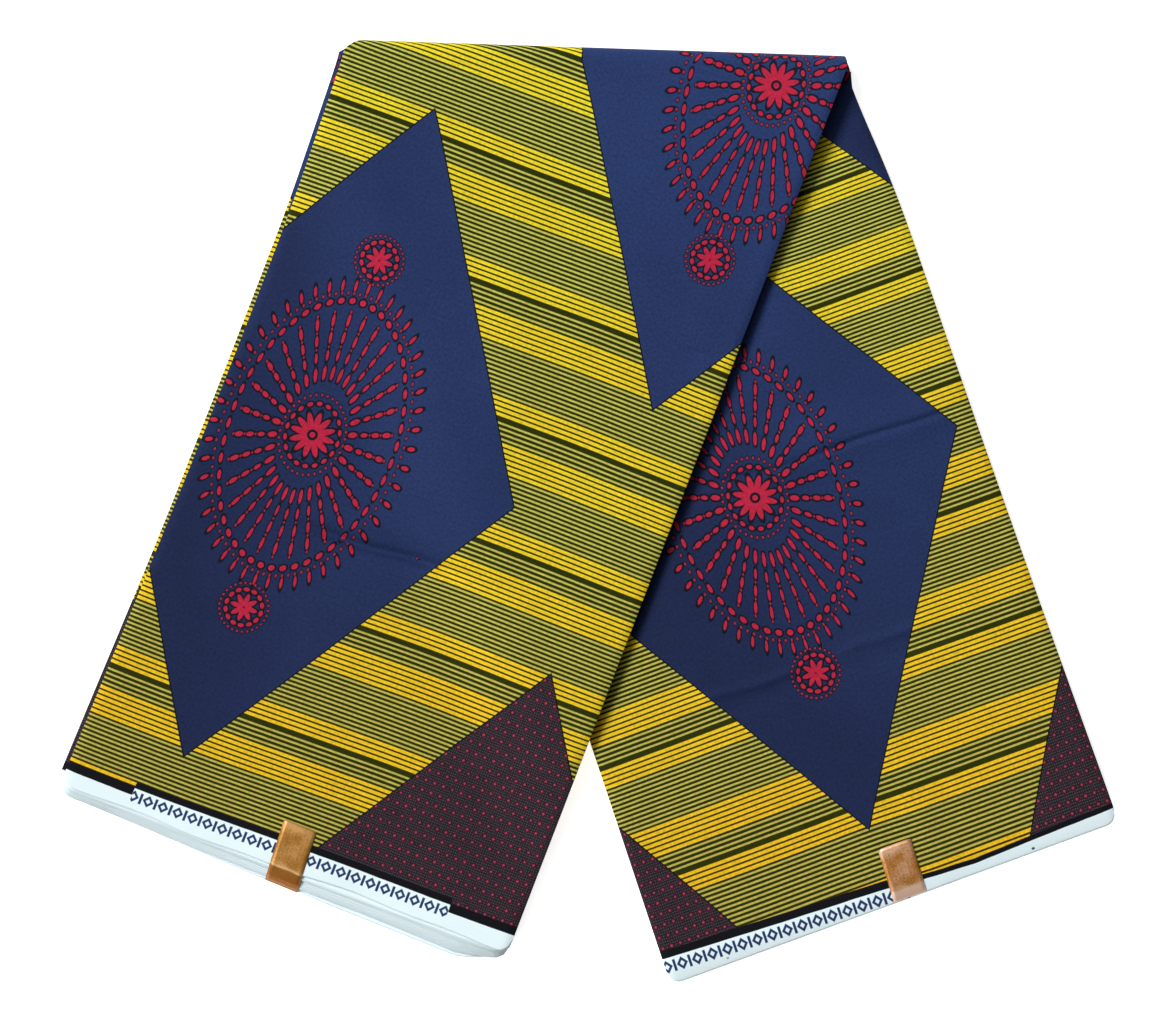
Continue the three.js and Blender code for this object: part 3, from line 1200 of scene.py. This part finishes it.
    def faded(self, colour: bpy.types.NodeSocket) -> bpy.types.NodeSocket:
        """The cloth's uneven take-up of dye: weave mottle and soft blotches.

        Args:
            colour: The print's colour.

        Returns:
            The same, lighter and darker from place to place.
        """
        fine = unevenness(self.tree, self.cloth, 520, 3)
        blotch = unevenness(self.tree, self.cloth, 55, 3)
        # Fine mottle of 2 mm, and weaker blotches of about 18 mm.
        tone = fine * 0.95 + blotch * 0.18 + 1.0
        inputs = {"Color": colour, "Value": tone, "Hue": 0.5, "Saturation": 1.0}
        return add(self.tree, "ShaderNodeHueSaturation", {}, inputs).outputs[0]

    def finish(self, colour: bpy.types.NodeSocket) -> None:
        """The cotton's surface: the bump of a plain weave with slubs, almost without gloss.

        Real threads lie 0.35 mm apart, which is too fine to show, so they are drawn at 0.95 mm.

        Args:
            colour: The cloth's colour.
        """
        tree = self.tree
        threads = [
            add(
                tree,
                "ShaderNodeTexWave",
                {"bands_direction": direction, "wave_profile": "SIN"},
                {"Vector": self.cloth, "Scale": 330.0, "Distortion": 0.6, "Detail": 1.0},
            ).outputs["Fac"]
            for direction in ("X", "Y")
        ]
        weave = Field(tree, threads[0]) * Field(tree, threads[1])
        slub = unevenness(tree, self.moved("MULTIPLY", 60, 700, 1), 1, 2)
        height = weave * 0.5 + slub * 0.5 + unevenness(tree, self.cloth, 160, 2) * 0.9
        inputs = {"Height": height, "Strength": 0.35, "Distance": 0.25 * MM}
        shading = {
            "Base Color": colour,
            "Roughness": unevenness(tree, self.cloth, 40, 2) * 0.12 + 0.74,
            "Normal": add(tree, "ShaderNodeBump", {}, inputs).outputs[0],
            "Specular IOR Level": 0.07,
        }
        shade(tree, shading)


@dataclass(frozen=True)
class FoilPaper:
    """Seal paper, coated with metal foil and stuck on by hand.

    It has a satin sheen with dull patches, light handling creases and worn marks.

    Attributes:
        name: The material's name.
        light: Its colour where it catches the light.
        dark: Its colour in the dull patches.
        bent: Its colour past the line where it bends over the cloth's end: painted shade where it
            is darker than the rest, a painted highlight where it is lighter.
        worn: The colour of its worn marks.
        painted_glint: The colour of a painted highlight along that line.
        bends_at: Distance of that line from its upper end, in millimetres.
    """

    name: str
    light: str
    dark: str
    bent: str
    worn: str = "5E3B22"
    painted_glint: str = "F6D9A8"
    bends_at: float = 30.5

    def material(self) -> bpy.types.Material:
        """Makes the material.

        Returns:
            A satin metal whose colour and roughness drift, with rows of faint worn marks, a painted
            highlight along the line where it bends, and past that line a tone that paints in light
            and
            shade: painted shade where it is darker, a painted highlight where it is lighter.
        """
        material = empty_material(self.name)
        tree = material.node_tree
        place, across, along = flat_place(tree)
        drift = unevenness(tree, place, 85, 3) * 2.6 + unevenness(tree, place, 900, 1) * 1.3 + 0.45
        body = along.between(6, self.bends_at - 2, 5) * 0.55 - 0.2
        colour = laid_over((drift + body).clamped(), self.light, self.dark)
        row = abs((across - 6).cell(2.6)).below(0.5, 0.3)
        broken = (unevenness(tree, place, 1100, 1) + 0.5).below(0.47, 0.05)
        inside = across.between(4.5, 19, 0.4) * along.between(5, 24, 0.6)
        colour = laid_over(row * broken * inside * 0.35, colour, self.worn)
        edge = along + unevenness(tree, place, 120, 1) * 1.5 - self.bends_at
        past = edge.below(0, 1.2).inverse()
        # Past the bend line the foil takes another tone: painted shade on the front seal's wrap, a
        # painted highlight on the back seal's fold.
        colour = laid_over(past * 0.9, colour, self.bent)
        # Painted highlight along the line where the foil bends.
        colour = laid_over(edge.between(-1.1, 0.3, 0.8) * 0.45, colour, self.painted_glint)
        crinkle = unevenness(tree, place, 320, 4) + unevenness(tree, place, 60, 2) * 2
        inputs = {"Height": crinkle, "Strength": 0.4, "Distance": 0.4 * MM}
        shading = {
            "Base Color": colour,
            "Metallic": 0.45,
            "Roughness": unevenness(tree, place, 150, 2) * 0.2 - past * 0.1 + 0.42,
            "Normal": add(tree, "ShaderNodeBump", {}, inputs).outputs[0],
        }
        shade(tree, shading)
        return material


# ---------------------------------------------------------------- the cloth


@dataclass(frozen=True)
class Stations:
    """Rows of a cloth's grid, from the front leg's end round the bend to the back leg's end.

    Attributes:
        near: Distances from a leg's end that every ply has a row at, in millimetres.
        front: Rows along the rest of the front leg.
        bend: Rows round the bend.
        back: Rows along the rest of the back leg.
        end_zone: Distance from an end within which a short ply's rows close up.
        gather_span: How far from a narrow crease the rows stand closer.
        gather: How many times closer, less one.
        narrow: The width under which a crease is narrow.
        samples: How many places along a leg the closeness is summed over.
    """

    near: tuple[float, ...]
    front: int
    bend: int
    back: int
    end_zone: float = 45 * MM
    gather_span: float = 8 * MM
    gather: float = 2.4
    narrow: float = 4 * MM
    samples: int = 500

    def spread(self, leg: Leg, start: float, ends: np.ndarray, count: int) -> np.ndarray:
        """Rows along the rest of a leg, closer together at its narrow creases and its bend.

        Args:
            leg: The leg.
            start: Distance from the leg's end where the rest begins.
            ends: Where it ends, by column.
            count: How many steps it is divided into.

        Returns:
            Distances from the leg's end, rows by columns. Each row stands where the sum of
            the closeness up to there has reached the row's share of the whole.
        """
        middles = [sum((c.start[1], c.end[1])) / 2 for c in leg.creases if c.width < self.narrow]
        shares = np.arange(1, count) / count
        columns = []
        for end in ends:
            place = np.linspace(start, end, self.samples)
            close = 1 + self.gather * np.exp(-(((place - end) / (5 * self.gather_span)) ** 2))
            for middle in middles:
                close += self.gather * np.exp(-(((place - middle) / self.gather_span) ** 2))
            reached = np.concatenate([[0], np.cumsum(close[1:])])
            columns.append(np.interp(shares, reached / reached[-1], place))
        return np.stack(columns, 1)

    def on_leg(
        self, pack: BentPack, leg: Leg, share: np.ndarray, count: int, short: np.ndarray
    ) -> np.ndarray:
        """Rows of one leg, from its end to the bend.

        Args:
            pack: The pack.
            leg: The leg.
            share: How far across, by column.
            count: How many steps the rest of the leg has.
            short: How far each column's cloth ends short of the longest ply.

        Returns:
            Distances from the leg's end, rows by columns.
        """
        near = np.array(self.near)[:, None] * MM
        closed = short + (self.end_zone - short) * near / self.end_zone
        near = np.where(near < self.end_zone, closed, near + 0 * short)
        length = pack.length(leg, share)
        return np.concatenate([near, self.spread(leg, self.near[-1] * MM, length, count)], 0)

    def rows(
        self, pack: BentPack, share: np.ndarray, short_front: np.ndarray, short_back: np.ndarray
    ) -> tuple[np.ndarray, np.ndarray]:
        """Stretch and value of every point.

        Args:
            pack: The pack.
            share: How far across, by column.
            short_front: How far each column's cloth ends short of the front's longest ply.
            short_back: The same at the back.

        Returns:
            Two arrays, rows by columns.
        """
        front = self.on_leg(pack, pack.front, share, self.front, short_front)
        back = self.on_leg(pack, pack.back, share, self.back, short_back)[::-1]
        bend = np.linspace(0, np.pi, self.bend + 1)[:, None] + 0 * share
        kinds = [Stretch.FRONT, Stretch.BEND, Stretch.BACK]
        parts = [front, bend, back]
        stretch = [np.full(part.shape, kind.value) for kind, part in zip(kinds, parts)]
        return np.concatenate(stretch, 0), np.concatenate(parts, 0)


@dataclass(frozen=True)
class Lips:
    """How far the folds between the face plies stand out at the sides, in millimetres.

    Attributes:
        front_left: At the left of the front leg, from the outer face's fold inwards.
        back_left: At the left of the back leg.
        right: At the right of both.
        bend_tuck: How far they are drawn in round the bend.
    """

    front_left: tuple[float, ...] = (1.5, 3.0, 2.2, 1.2, 2.6, 0.8, 1.9)
    back_left: tuple[float, ...] = (-0.5, 0.0, -0.3, 0.1, -0.6, -0.2, 0.0)
    right: tuple[float, ...] = (-0.9, -0.7, -1.0, -0.6, -0.8, -1.1, -0.7)
    bend_tuck: float = 2.2


@dataclass
class FoldedCloth:
    """The printed cloth, whose outer and inner plies show, with the folds between them.

    Attributes:
        pack: The bent pack that it fills.
        ply: The cloth's thickness.
        selvedge: Width of its white edge.
        far_selvedge: Distance across the cloth to its other cut edge.
        outer_phase: Distance across the front leg where a lozenge column is centred.
        inner_phase: The same on the back leg.
        tuck: How far a face ply's turned edge runs back inside.
        roll: Radius of that turned edge.
        hidden_plies: Plies between the two face plies' turned edges.
        hidden_depths: Depths of the first and last of them.
        fold_places: Where along the cloth the left and the right folds lie.
        fold_step: How much further along the cloth each next fold lies.
        lips: How far each fold stands out.
        bend_slide: Share of the bend's radius that the print is off by round the bend.
        creep_from: Distance from the back leg's end where its cloth was pulled up from.
        creep_span: Length over which the pull grows.
        creep_rate: The pull, over the square of the distance past there.
        creep_side: Shares across between which it sets in.
        end_step: How unevenly the hidden plies' ends step back, as a share.
        short: How far the longest hidden ply falls short, at the front and at the back.
        back_spare: How much less than the face plies the hidden ones fan out at the back.
        squeeze: How much closer the hidden plies lie inside than at their edges.
        squeeze_span: Distances from an edge between which that sets in.
        dense: Rows along the leg where a face ply is seen.
        sparse: Rows along the other one.
    """

    pack: BentPack = PACK
    ply: float = 0.28 * MM
    selvedge: float = 11 * MM
    far_selvedge: float = 1189.2 * MM
    outer_phase: float = 68 * MM
    inner_phase: float = 157 * MM
    tuck: float = 13 * MM
    roll: float = 0.5 * MM
    hidden_plies: int = 13
    hidden_depths: tuple[float, float] = (1.55 * MM, 7.25 * MM)
    fold_places: tuple[float, float] = (229 * MM, 505 * MM)
    fold_step: float = 6 * MM
    lips: Lips = Lips()
    bend_slide: float = 0.45
    creep_from: float = 281 * MM
    creep_span: float = 240 * MM
    creep_rate: float = 0.32
    creep_side: tuple[float, float] = (0.35, 0.8)
    end_step: float = 0.074
    short: tuple[float, float] = (0.4 * MM, 2.2 * MM)
    back_spare: float = 3 * MM
    squeeze: float = 0.16
    squeeze_span: tuple[float, float] = (2 * MM, 14 * MM)
    dense: int = 236
    sparse: int = 26

    def flat_places(
        self,
        stretch: np.ndarray,
        value: np.ndarray,
        share: np.ndarray,
        ends: tuple[np.ndarray, np.ndarray],
        along_cloth: np.ndarray,
    ) -> np.ndarray:
        """Where each point lies on the flat cloth.

        Args:
            stretch: Each point's Stretch value.
            value: Its distance from the leg's end, or angle.
            share: How far across.
            ends: How far this ply falls short at the front and at the back.
            along_cloth: Its place along the cloth's length.

        Returns:
            The two flat coordinates. Across the cloth, the front leg counts from its own
            selvedge and the back leg down from the other one. The bend's first half runs on
            by its own arc, and the second half makes up what is left.
        """
        pack, columns = self.pack, share[:1]
        back_length = pack.length(pack.back, columns)
        front_leaves = pack.length(pack.front, columns) - ends[0] - self.selvedge
        back_leaves = self.far_selvedge - back_length + ends[1]
        back_leaves = back_leaves - self.creep(back_length, columns)
        front = value - ends[0] - self.selvedge + self.front_waves(value, share)
        back = self.far_selvedge - value + ends[1] - self.creep(value, share)
        back = back - self.back_waves(value, share)
        arc = np.pi * pack.bend_radius
        rest = back_leaves - front_leaves - arc
        bend = front_leaves + arc * value / np.pi + rest * smoothstep(value, 1.5, np.pi)
        across = by_stretch(stretch, front, bend, back)
        slide = self.bend_slide * pack.bend_radius * np.sin(np.minimum(value, np.pi))
        return np.stack([along_cloth - by_stretch(stretch, 0, slide, 0), across], -1)

    def creep(self, value: np.ndarray, share: np.ndarray) -> np.ndarray:
        """How much the back leg's upper right part was pulled towards the bend."""
        above = np.clip(value - self.creep_from, 0, self.creep_span)
        return self.creep_rate * above**2 * smoothstep(share, *self.creep_side)

    def front_waves(self, value: np.ndarray, share: np.ndarray) -> np.ndarray:
        """How the front leg's stripes stray from straight, where the cloth was pulled.

        Args:
            value: Distance from the leg's end.
            share: How far across.

        Returns:
            The stray: two slow sine waves, faded out at the bend.
        """
        across = self.pack.width * share
        fade = smoothstep(self.pack.run(self.pack.front, share)[1] - value, 0, 60 * MM)
        slow = 0.7 * np.sin(13 * across + 7 * value) + 0.5 * np.sin(29 * across - 5 * value)
        return slow * fade * MM

    def back_waves(self, value: np.ndarray, share: np.ndarray) -> np.ndarray:
        """The same on the back leg: drawn towards the end, most of all right of the seal.

        Args:
            value: Distance from the leg's end.
            share: How far across.

        Returns:
            The stray: a step across that dies out along the leg, and a slow sine wave.
        """
        across = self.pack.width * share
        jog = 9.0 + 1.2 * np.tanh((across - 172 * MM) / (13 * MM))
        return (jog * np.exp(-value / (55 * MM)) + 0.5 * np.sin(17 * across + 9 * value)) * MM

    def face_profile(self, columns: np.ndarray) -> tuple[np.ndarray, ...]:
        """Section of a face ply: across its face, round both rolled edges and back inside.

        Args:
            columns: Shares across the face.

        Returns:
            Shares across, depths under the face, and distances along the section.
        """
        width, roll = self.pack.width, self.roll
        turn = np.linspace(0, np.pi, 7)[1:]
        out = roll * np.sin(turn)
        down = roll * (1 - np.cos(turn))
        inside = np.array([0.35, 1.0]) * self.tuck
        left_x = np.concatenate([-out, inside])[::-1]
        left_d = np.concatenate([down, [2 * roll] * 2])[::-1]
        across = np.concatenate([left_x, columns * width, (width - left_x)[::-1]])
        depth = np.concatenate([left_d, 0 * columns, left_d[::-1]])
        run = np.hypot(np.diff(across), np.diff(depth))
        along = np.concatenate([[0], np.cumsum(run)])
        along = along - along[len(left_x)]
        return across / width, depth, along

    def face(self, name: str, is_outer: bool) -> bpy.types.Object:
        """Builds a face ply.

        Args:
            name: Its name.
            is_outer: Whether it is the outer face, on top of the front leg.

        Returns:
            The piece.
        """
        pack = self.pack
        inner_columns = spaced((0, 0.006, 0.02, 0.98, 0.994, 1), (3, 4, 112, 4, 3))
        share, down, along = self.face_profile(inner_columns)
        stations = Stations(
            near=(0, 1.5, 4, 8, 12, 16, 21, 26, 33, 40, 50, 60),
            front=self.dense if is_outer else self.sparse,
            bend=20,
            back=self.sparse if is_outer else self.dense,
        )
        clipped = np.clip(share, 0, 1)
        retreat = pack.retreat(clipped)
        if is_outer:
            print_ends = (pack.reach(pack.front, clipped), pack.back_fan + 0 * clipped)
            # The cut edge wavers by about a millimetre.
            waver = 0.8 * np.sin(11 * clipped + 0.6) - 0.5 * np.sin(27 * clipped)
        else:
            print_ends = (0 * clipped, 0 * clipped)
            # It falls back at both corners, and where the seal pulls at it.
            waver = 0.3 + 0.3 * np.sin(9 * clipped)
            waver += 1.2 * (1 - smoothstep(clipped, 0.05, 0.42)) + 2.2 * smoothstep(clipped, 0.9, 1)
            waver += 0.8 * np.exp(-(((clipped - 0.5355) / 0.06) ** 2))
        ends = (print_ends[0] + retreat + waver * MM, print_ends[1] + retreat)
        stretch, value = stations.rows(pack, clipped, *ends)
        depth = self.ply / 2 + down if is_outer else pack.thickness - self.ply / 2 - down
        depth = depth + 0 * value
        rows = share + 0 * value
        points = pack.place(stretch, value, rows, depth)
        phase = self.outer_phase if is_outer else self.inner_phase
        places = self.flat_places(stretch, value, rows, print_ends, along - phase + 0 * value)
        return grid_piece(name, points, places, self.ply)

    def hidden_section(self) -> tuple[np.ndarray, ...]:
        """Section of the plies between the faces: one cloth folded to and fro.

        Returns:
            Shares across, depths, the number of the ply at each point, places along the
            cloth, and how far the point lies out on the lip of a left or a right fold.
        """
        count, (first, last) = self.hidden_plies, self.hidden_depths
        pitch = (last - first) / (count - 1)
        inner = spaced((0.004, 0.03, 0.97, 0.996), (2, 24, 2))
        turn = np.linspace(0, np.pi, 6)[1:-1]
        left, right = self.fold_places
        parts = []
        for ply in range(count):
            goes_right = ply % 2 == 0
            across = inner if goes_right else inner[::-1]
            still = 0 * across
            along = left + (right - left) * across + self.fold_step * (ply // 2)
            parts.append((across, first + pitch * ply + still, ply + still, along, still))
            if ply == count - 1:
                break
            still = 0 * turn
            side, place = (1.0, right) if goes_right else (0.0, left)
            order = ply + 0.5 - 0.5 * np.cos(turn)
            out = np.sin(turn) ** 0.6 * (1 if goes_right else -1)
            along = place + self.fold_step * (order / 2)
            parts.append((side + still, first + pitch * order, order, along, out))
        return tuple(np.concatenate(column) for column in zip(*parts))

    def lip_shifts(
        self, stretch: np.ndarray, value: np.ndarray, order: np.ndarray, out: np.ndarray
    ) -> np.ndarray:
        """How far each point of the hidden plies moves across, as a share of the width.

        Args:
            stretch: Each point's Stretch value.
            value: Its distance from the leg's end, or angle.
            order: The number of its ply.
            out: How far it lies out on a lip, negative at the left.

        Returns:
            The lip's own reach, which passes from the front leg's to the back leg's round the
            bend, plus half the fold's thickness and a slow stray.
        """
        fold = np.clip(order / 2, 0, len(self.lips.right) - 1).astype(int)
        kept = by_stretch(stretch, 1.0, (1 + np.cos(value)) / 2, 0)
        front_left, back_left = np.array(self.lips.front_left), np.array(self.lips.back_left)
        left = back_left[fold] + (front_left[fold] - back_left[fold]) * kept
        reach = np.where(out < 0, left, np.array(self.lips.right)[fold]) + 0.25
        stray = 0.45 * np.sin(4.3 * order + 13 * value) * np.where(out < 0, kept, 0.3)
        reach = reach - by_stretch(stretch, 0, self.lips.bend_tuck * np.sin(value), 0)
        return out * (reach + stray) * MM / self.pack.width

    def hidden(self, name: str) -> bpy.types.Object:
        """Builds the plies between the faces, as one cloth folded to and fro.

        Args:
            name: Its name.

        Returns:
            The piece.
        """
        pack = self.pack
        share, depth, order, along, out = self.hidden_section()
        clipped = np.clip(share, 0, 1)
        part = depth / pack.thickness
        step = part + self.end_step * np.sin(4 * np.pi * part - 0.2 * np.pi)
        retreat = pack.retreat(clipped)
        # No two plies end quite alike.
        waver = 0.4 * MM * np.sin(9 * clipped + 0.7 * order) + 0.12 * MM * np.sin(5 * order)
        short_front = (1 - step) * pack.reach(pack.front, clipped) + waver + self.short[0]
        short_back = self.short[1] + (1 - part) * (pack.back_fan - self.back_spare) + waver
        stations = Stations(near=(0, 3, 7, 12, 18, 26, 45, 65), front=40, bend=12, back=20)
        ends = (short_front + retreat, short_back + retreat)
        stretch, value = stations.rows(pack, clipped, *ends)
        rows, deep = share + 0 * value, depth + 0 * value
        rows = rows + self.lip_shifts(stretch, value, order + 0 * value, out + 0 * value)
        edge = np.minimum(rows, 1 - rows) * pack.width
        from_end = by_stretch(stretch, value, 1.0, value)
        inside = smoothstep(np.minimum(edge, from_end), *self.squeeze_span)
        middle = pack.thickness / 2
        deep = middle + (deep - middle) * (1 - self.squeeze * inside)
        points = pack.place(stretch, value, rows, deep)
        print_ends = (short_front, short_back)
        places = self.flat_places(stretch, value, rows, print_ends, along + 0 * value)
        return grid_piece(name, points, places, self.ply)

    def build(self) -> None:
        """Builds and dresses the three pieces of cloth."""
        near = Margin(panel=(-22, 200), tilts=((0.0, 0.0),))
        far = Margin(
            panel=(-200, 12),
            tilts=((-3.8, 0.038), (0.0, -0.025)),
            cut=0.0,
            border=(2.9, 4.9),
        )
        plain = Margin(panel=(-900, -800), tilts=((0.0, 0.0),))
        outer = self.face("outer_cloth", True)
        folds = self.hidden("folded_cloth")
        inner = self.face("inner_cloth", False)
        wear = (
            (outer, "wax_print_outer", near, "outer_layer", "print_outer"),
            (folds, "wax_print_folds", plain, "hidden_layers", "folded_edges"),
            (inner, "wax_print_inner", far, "inner_layer", "print_inner"),
        )
        for piece, name, margin, node, slot in wear:
            dress(piece, WaxPrint(name, margin, PrintColours()).material, node)


def dress(piece: bpy.types.Object, material: bpy.types.Material, node: str) -> None:
    """Gives a piece its material, and says which node it stands for.

    Args:
        piece: The piece.
        material: What it wears.
        node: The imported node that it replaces.
    """
    piece.data.materials.append(material)
    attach(piece, "root")
    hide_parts(node)
    LOG.info("%s: %d vertices, for %s", piece.name, len(piece.data.vertices), node)


# ---------------------------------------------------------------- the seals


@dataclass
class Seal:
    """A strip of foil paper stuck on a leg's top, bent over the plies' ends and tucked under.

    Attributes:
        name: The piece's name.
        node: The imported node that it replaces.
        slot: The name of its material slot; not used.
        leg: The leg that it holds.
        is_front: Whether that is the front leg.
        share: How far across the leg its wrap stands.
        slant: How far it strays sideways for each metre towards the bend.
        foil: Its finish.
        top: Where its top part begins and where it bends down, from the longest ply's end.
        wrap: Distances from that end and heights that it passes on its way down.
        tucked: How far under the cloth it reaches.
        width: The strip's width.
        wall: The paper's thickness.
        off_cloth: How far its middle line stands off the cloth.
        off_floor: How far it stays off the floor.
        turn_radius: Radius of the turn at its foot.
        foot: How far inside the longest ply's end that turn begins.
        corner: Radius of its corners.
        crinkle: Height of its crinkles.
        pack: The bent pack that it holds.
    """

    name: str
    node: str
    slot: str
    leg: Leg
    is_front: bool
    share: float
    slant: float
    foil: FoilPaper
    top: tuple[float, float]
    wrap: tuple[tuple[float, float], ...]
    tucked: float
    width: float = 23 * MM
    wall: float = 0.14 * MM
    off_cloth: float = 0.3 * MM
    off_floor: float = 0.05 * MM
    turn_radius: float = 0.45 * MM
    foot: float = 0.5 * MM
    corner: float = 0.6 * MM
    crinkle: float = 0.06 * MM
    pack: BentPack = PACK

    def path(self) -> tuple[np.ndarray, np.ndarray]:
        """The strip's middle line: distances from the leg's end, and heights.

        Returns:
            The top part lies on the cloth. A smooth curve runs down through the wrap's
            points, a half circle turns it under, and the last part lies on the floor.
        """
        pack = self.pack
        stretch = Stretch.FRONT if self.is_front else Stretch.BACK
        depth = -self.off_cloth if self.is_front else pack.thickness + self.off_cloth
        top_x = spaced(self.top, (16,))
        same = np.full_like(top_x, self.share)
        kinds = np.full_like(top_x, stretch.value)
        top_z = pack.place(kinds, top_x, same, np.full_like(top_x, depth))[:, 2]
        floor_z, turn_radius = self.wall / 2 + self.off_floor, self.turn_radius
        foot = (self.foot, floor_z + 2 * turn_radius)
        knots = np.array([(top_x[-1], top_z[-1]), *self.wrap, foot])
        gone = np.concatenate([[0], np.cumsum(np.hypot(*np.diff(knots, axis=0).T))])
        steps = np.linspace(0, gone[-1], 22)[1:]
        wrap_x, wrap_z = (np.interp(steps, gone, knots[:, axis]) for axis in (0, 1))
        turn = np.linspace(0, np.pi, 7)[1:]
        under_x = foot[0] - turn_radius * np.sin(turn)
        under_z = floor_z + turn_radius * (1 + np.cos(turn))
        back_x = np.linspace(foot[0], self.tucked, 11)[1:]
        x = np.concatenate([top_x, wrap_x, under_x, back_x])
        z = np.concatenate([top_z, wrap_z, under_z, np.full(10, floor_z)])
        return x, z

    def build(self) -> None:
        """Builds and dresses the seal."""
        x, z = self.path()
        side = np.linspace(-0.5, 0.5, 9) * self.width
        inside = np.clip(self.width / 2 - np.abs(side), 0, self.corner)
        trim = self.corner - np.sqrt(self.corner**2 - (self.corner - inside) ** 2)
        reach = x[:, None] - trim * (x[:, None] >= x[0] - 1e-9)
        across = self.share + (side + self.slant * reach) / self.pack.width
        plan = self.pack.plan(self.leg, across, reach)
        gone = np.concatenate([[0], np.cumsum(np.hypot(np.diff(x), np.diff(z)))])
        crinkle = self.crinkle * np.sin(900 * gone)[:, None] * np.sin(700 * side + 2)
        height = z[:, None] + np.clip(crinkle, 0, None)
        points = np.concatenate([plan, height[..., None]], -1)
        places = np.stack([side + self.width / 2 + 0 * height, gone[:, None] + 0 * height], -1)
        piece = grid_piece(self.name, points, places, self.wall)
        dress(piece, self.foil.material(), self.node)


# ---------------------------------------------------------------- the picture


@dataclass(frozen=True)
class Studio:
    """A pale floor, soft light from the left, and a camera straight above.

    Attributes:
        floor_size: The floor's width.
        floor_gap: How far the floor lies under the cloth.
        floor_tone: How pale it is.
        floor_glow: Light that the floor gives of itself, which keeps its shadows pale.
        sky: Strength of the even light from all sides.
        lamps: Each lamp's name, strength, the angle that it seems to fill, in degrees, and the
            direction that it comes from.
    """

    floor_size: float = 6.0
    floor_gap: float = 0.2 * MM
    floor_tone: float = 0.76
    floor_glow: float = 0.85
    sky: float = 0.08
    lamps: tuple[tuple, ...] = (
        ("key", 2.95, 21, (-0.76, 0.66, 1.08)),
        ("fill", 1.05, 44, (-0.80, -0.54, 0.85)),
    )

    def floor(self) -> None:
        """Lays the floor just under the cloth."""
        half = self.floor_size / 2
        corners = [(-half, -half), (half, -half), (half, half), (-half, half)]
        mesh = bpy.data.meshes.new("floor")
        mesh.from_pydata([(x, y, -self.floor_gap) for x, y in corners], [], [(0, 1, 2, 3)])
        material = empty_material("floor")
        shading = {
            "Base Color": (*[self.floor_tone] * 3, 1),
            "Roughness": 0.9,
            "Specular IOR Level": 0.1,
            "Emission Color": (1, 1, 1, 1),
            "Emission Strength": self.floor_glow,
        }
        shade(material.node_tree, shading)
        mesh.materials.append(material)
        placed("floor", mesh)

    def light(self) -> None:
        """Lights the room: an even sky, and broad lamps from the upper and the lower left."""
        world = bpy.data.worlds.new("room")
        bpy.context.scene.world = world
        world.use_nodes = True
        sky = world.node_tree.nodes["Background"]
        sky.inputs["Color"].default_value = (1.0, 1.0, 1.0, 1)
        sky.inputs["Strength"].default_value = self.sky
        for name, strength, width, (x, y, z) in self.lamps:
            light = bpy.data.lights.new(name, "SUN")
            light.energy = strength
            light.angle = math.radians(width)
            tilt, turn = math.atan2(math.hypot(x, y), z), math.atan2(y, x) + math.pi / 2
            placed(name, light).rotation_euler = (tilt, 0, turn)

    def camera(self) -> None:
        """Hangs the camera, with a lens that fits the picture's width at the cloth."""
        scene = bpy.context.scene
        data = bpy.data.cameras.new("camera")
        data.sensor_width = SENSOR_WIDTH
        data.lens = SENSOR_WIDTH * CAMERA_HEIGHT / PICTURE_WIDTH
        scene.camera = placed("camera", data)
        scene.camera.location = (*PICTURE_CENTRE, CAMERA_HEIGHT + CLOTH_HEIGHT)
        scene.view_settings.view_transform = "Standard"

    def build(self) -> None:
        """Sets up the whole studio."""
        self.camera()
        self.floor()
        self.light()


def main() -> None:
    """Builds the picture, the cloth and its seals."""
    logging.basicConfig(level=logging.INFO, format="%(message)s")
    Studio().build()
    FoldedCloth().build()
    # Past the bend line, the orange foil is painted darker as shade on its wrap, and the copper
    # foil lighter as a painted highlight on its fold.
    orange = FoilPaper("orange_foil_paper", "E4AC68", "AE7628", "9C5C10")
    copper = FoilPaper("copper_foil_paper", "EABB96", "B87626", "FFD8BE")
    seals = (
        Seal(
            name="orange_seal",
            node="front_seal",
            slot="orange_foil",
            leg=PACK.front,
            is_front=True,
            share=0.507,
            slant=-0.055,
            foil=orange,
            top=(43.0 * MM, 12.0 * MM),
            wrap=((9.4 * MM, 8.3 * MM), (5.0 * MM, 5.6 * MM), (1.9 * MM, 2.9 * MM)),
            tucked=18 * MM,
        ),
        Seal(
            name="copper_seal",
            node="back_seal",
            slot="copper_foil",
            leg=PACK.back,
            is_front=False,
            share=0.5355,
            slant=0.03,
            foil=copper,
            top=(37.6 * MM, 0.9 * MM),
            wrap=((0.25 * MM, 5.2 * MM), (0.3 * MM, 2.6 * MM)),
            tucked=25 * MM,
        ),
    )
    for seal in seals:
        seal.build()


if __name__ == "__main__":
    main()
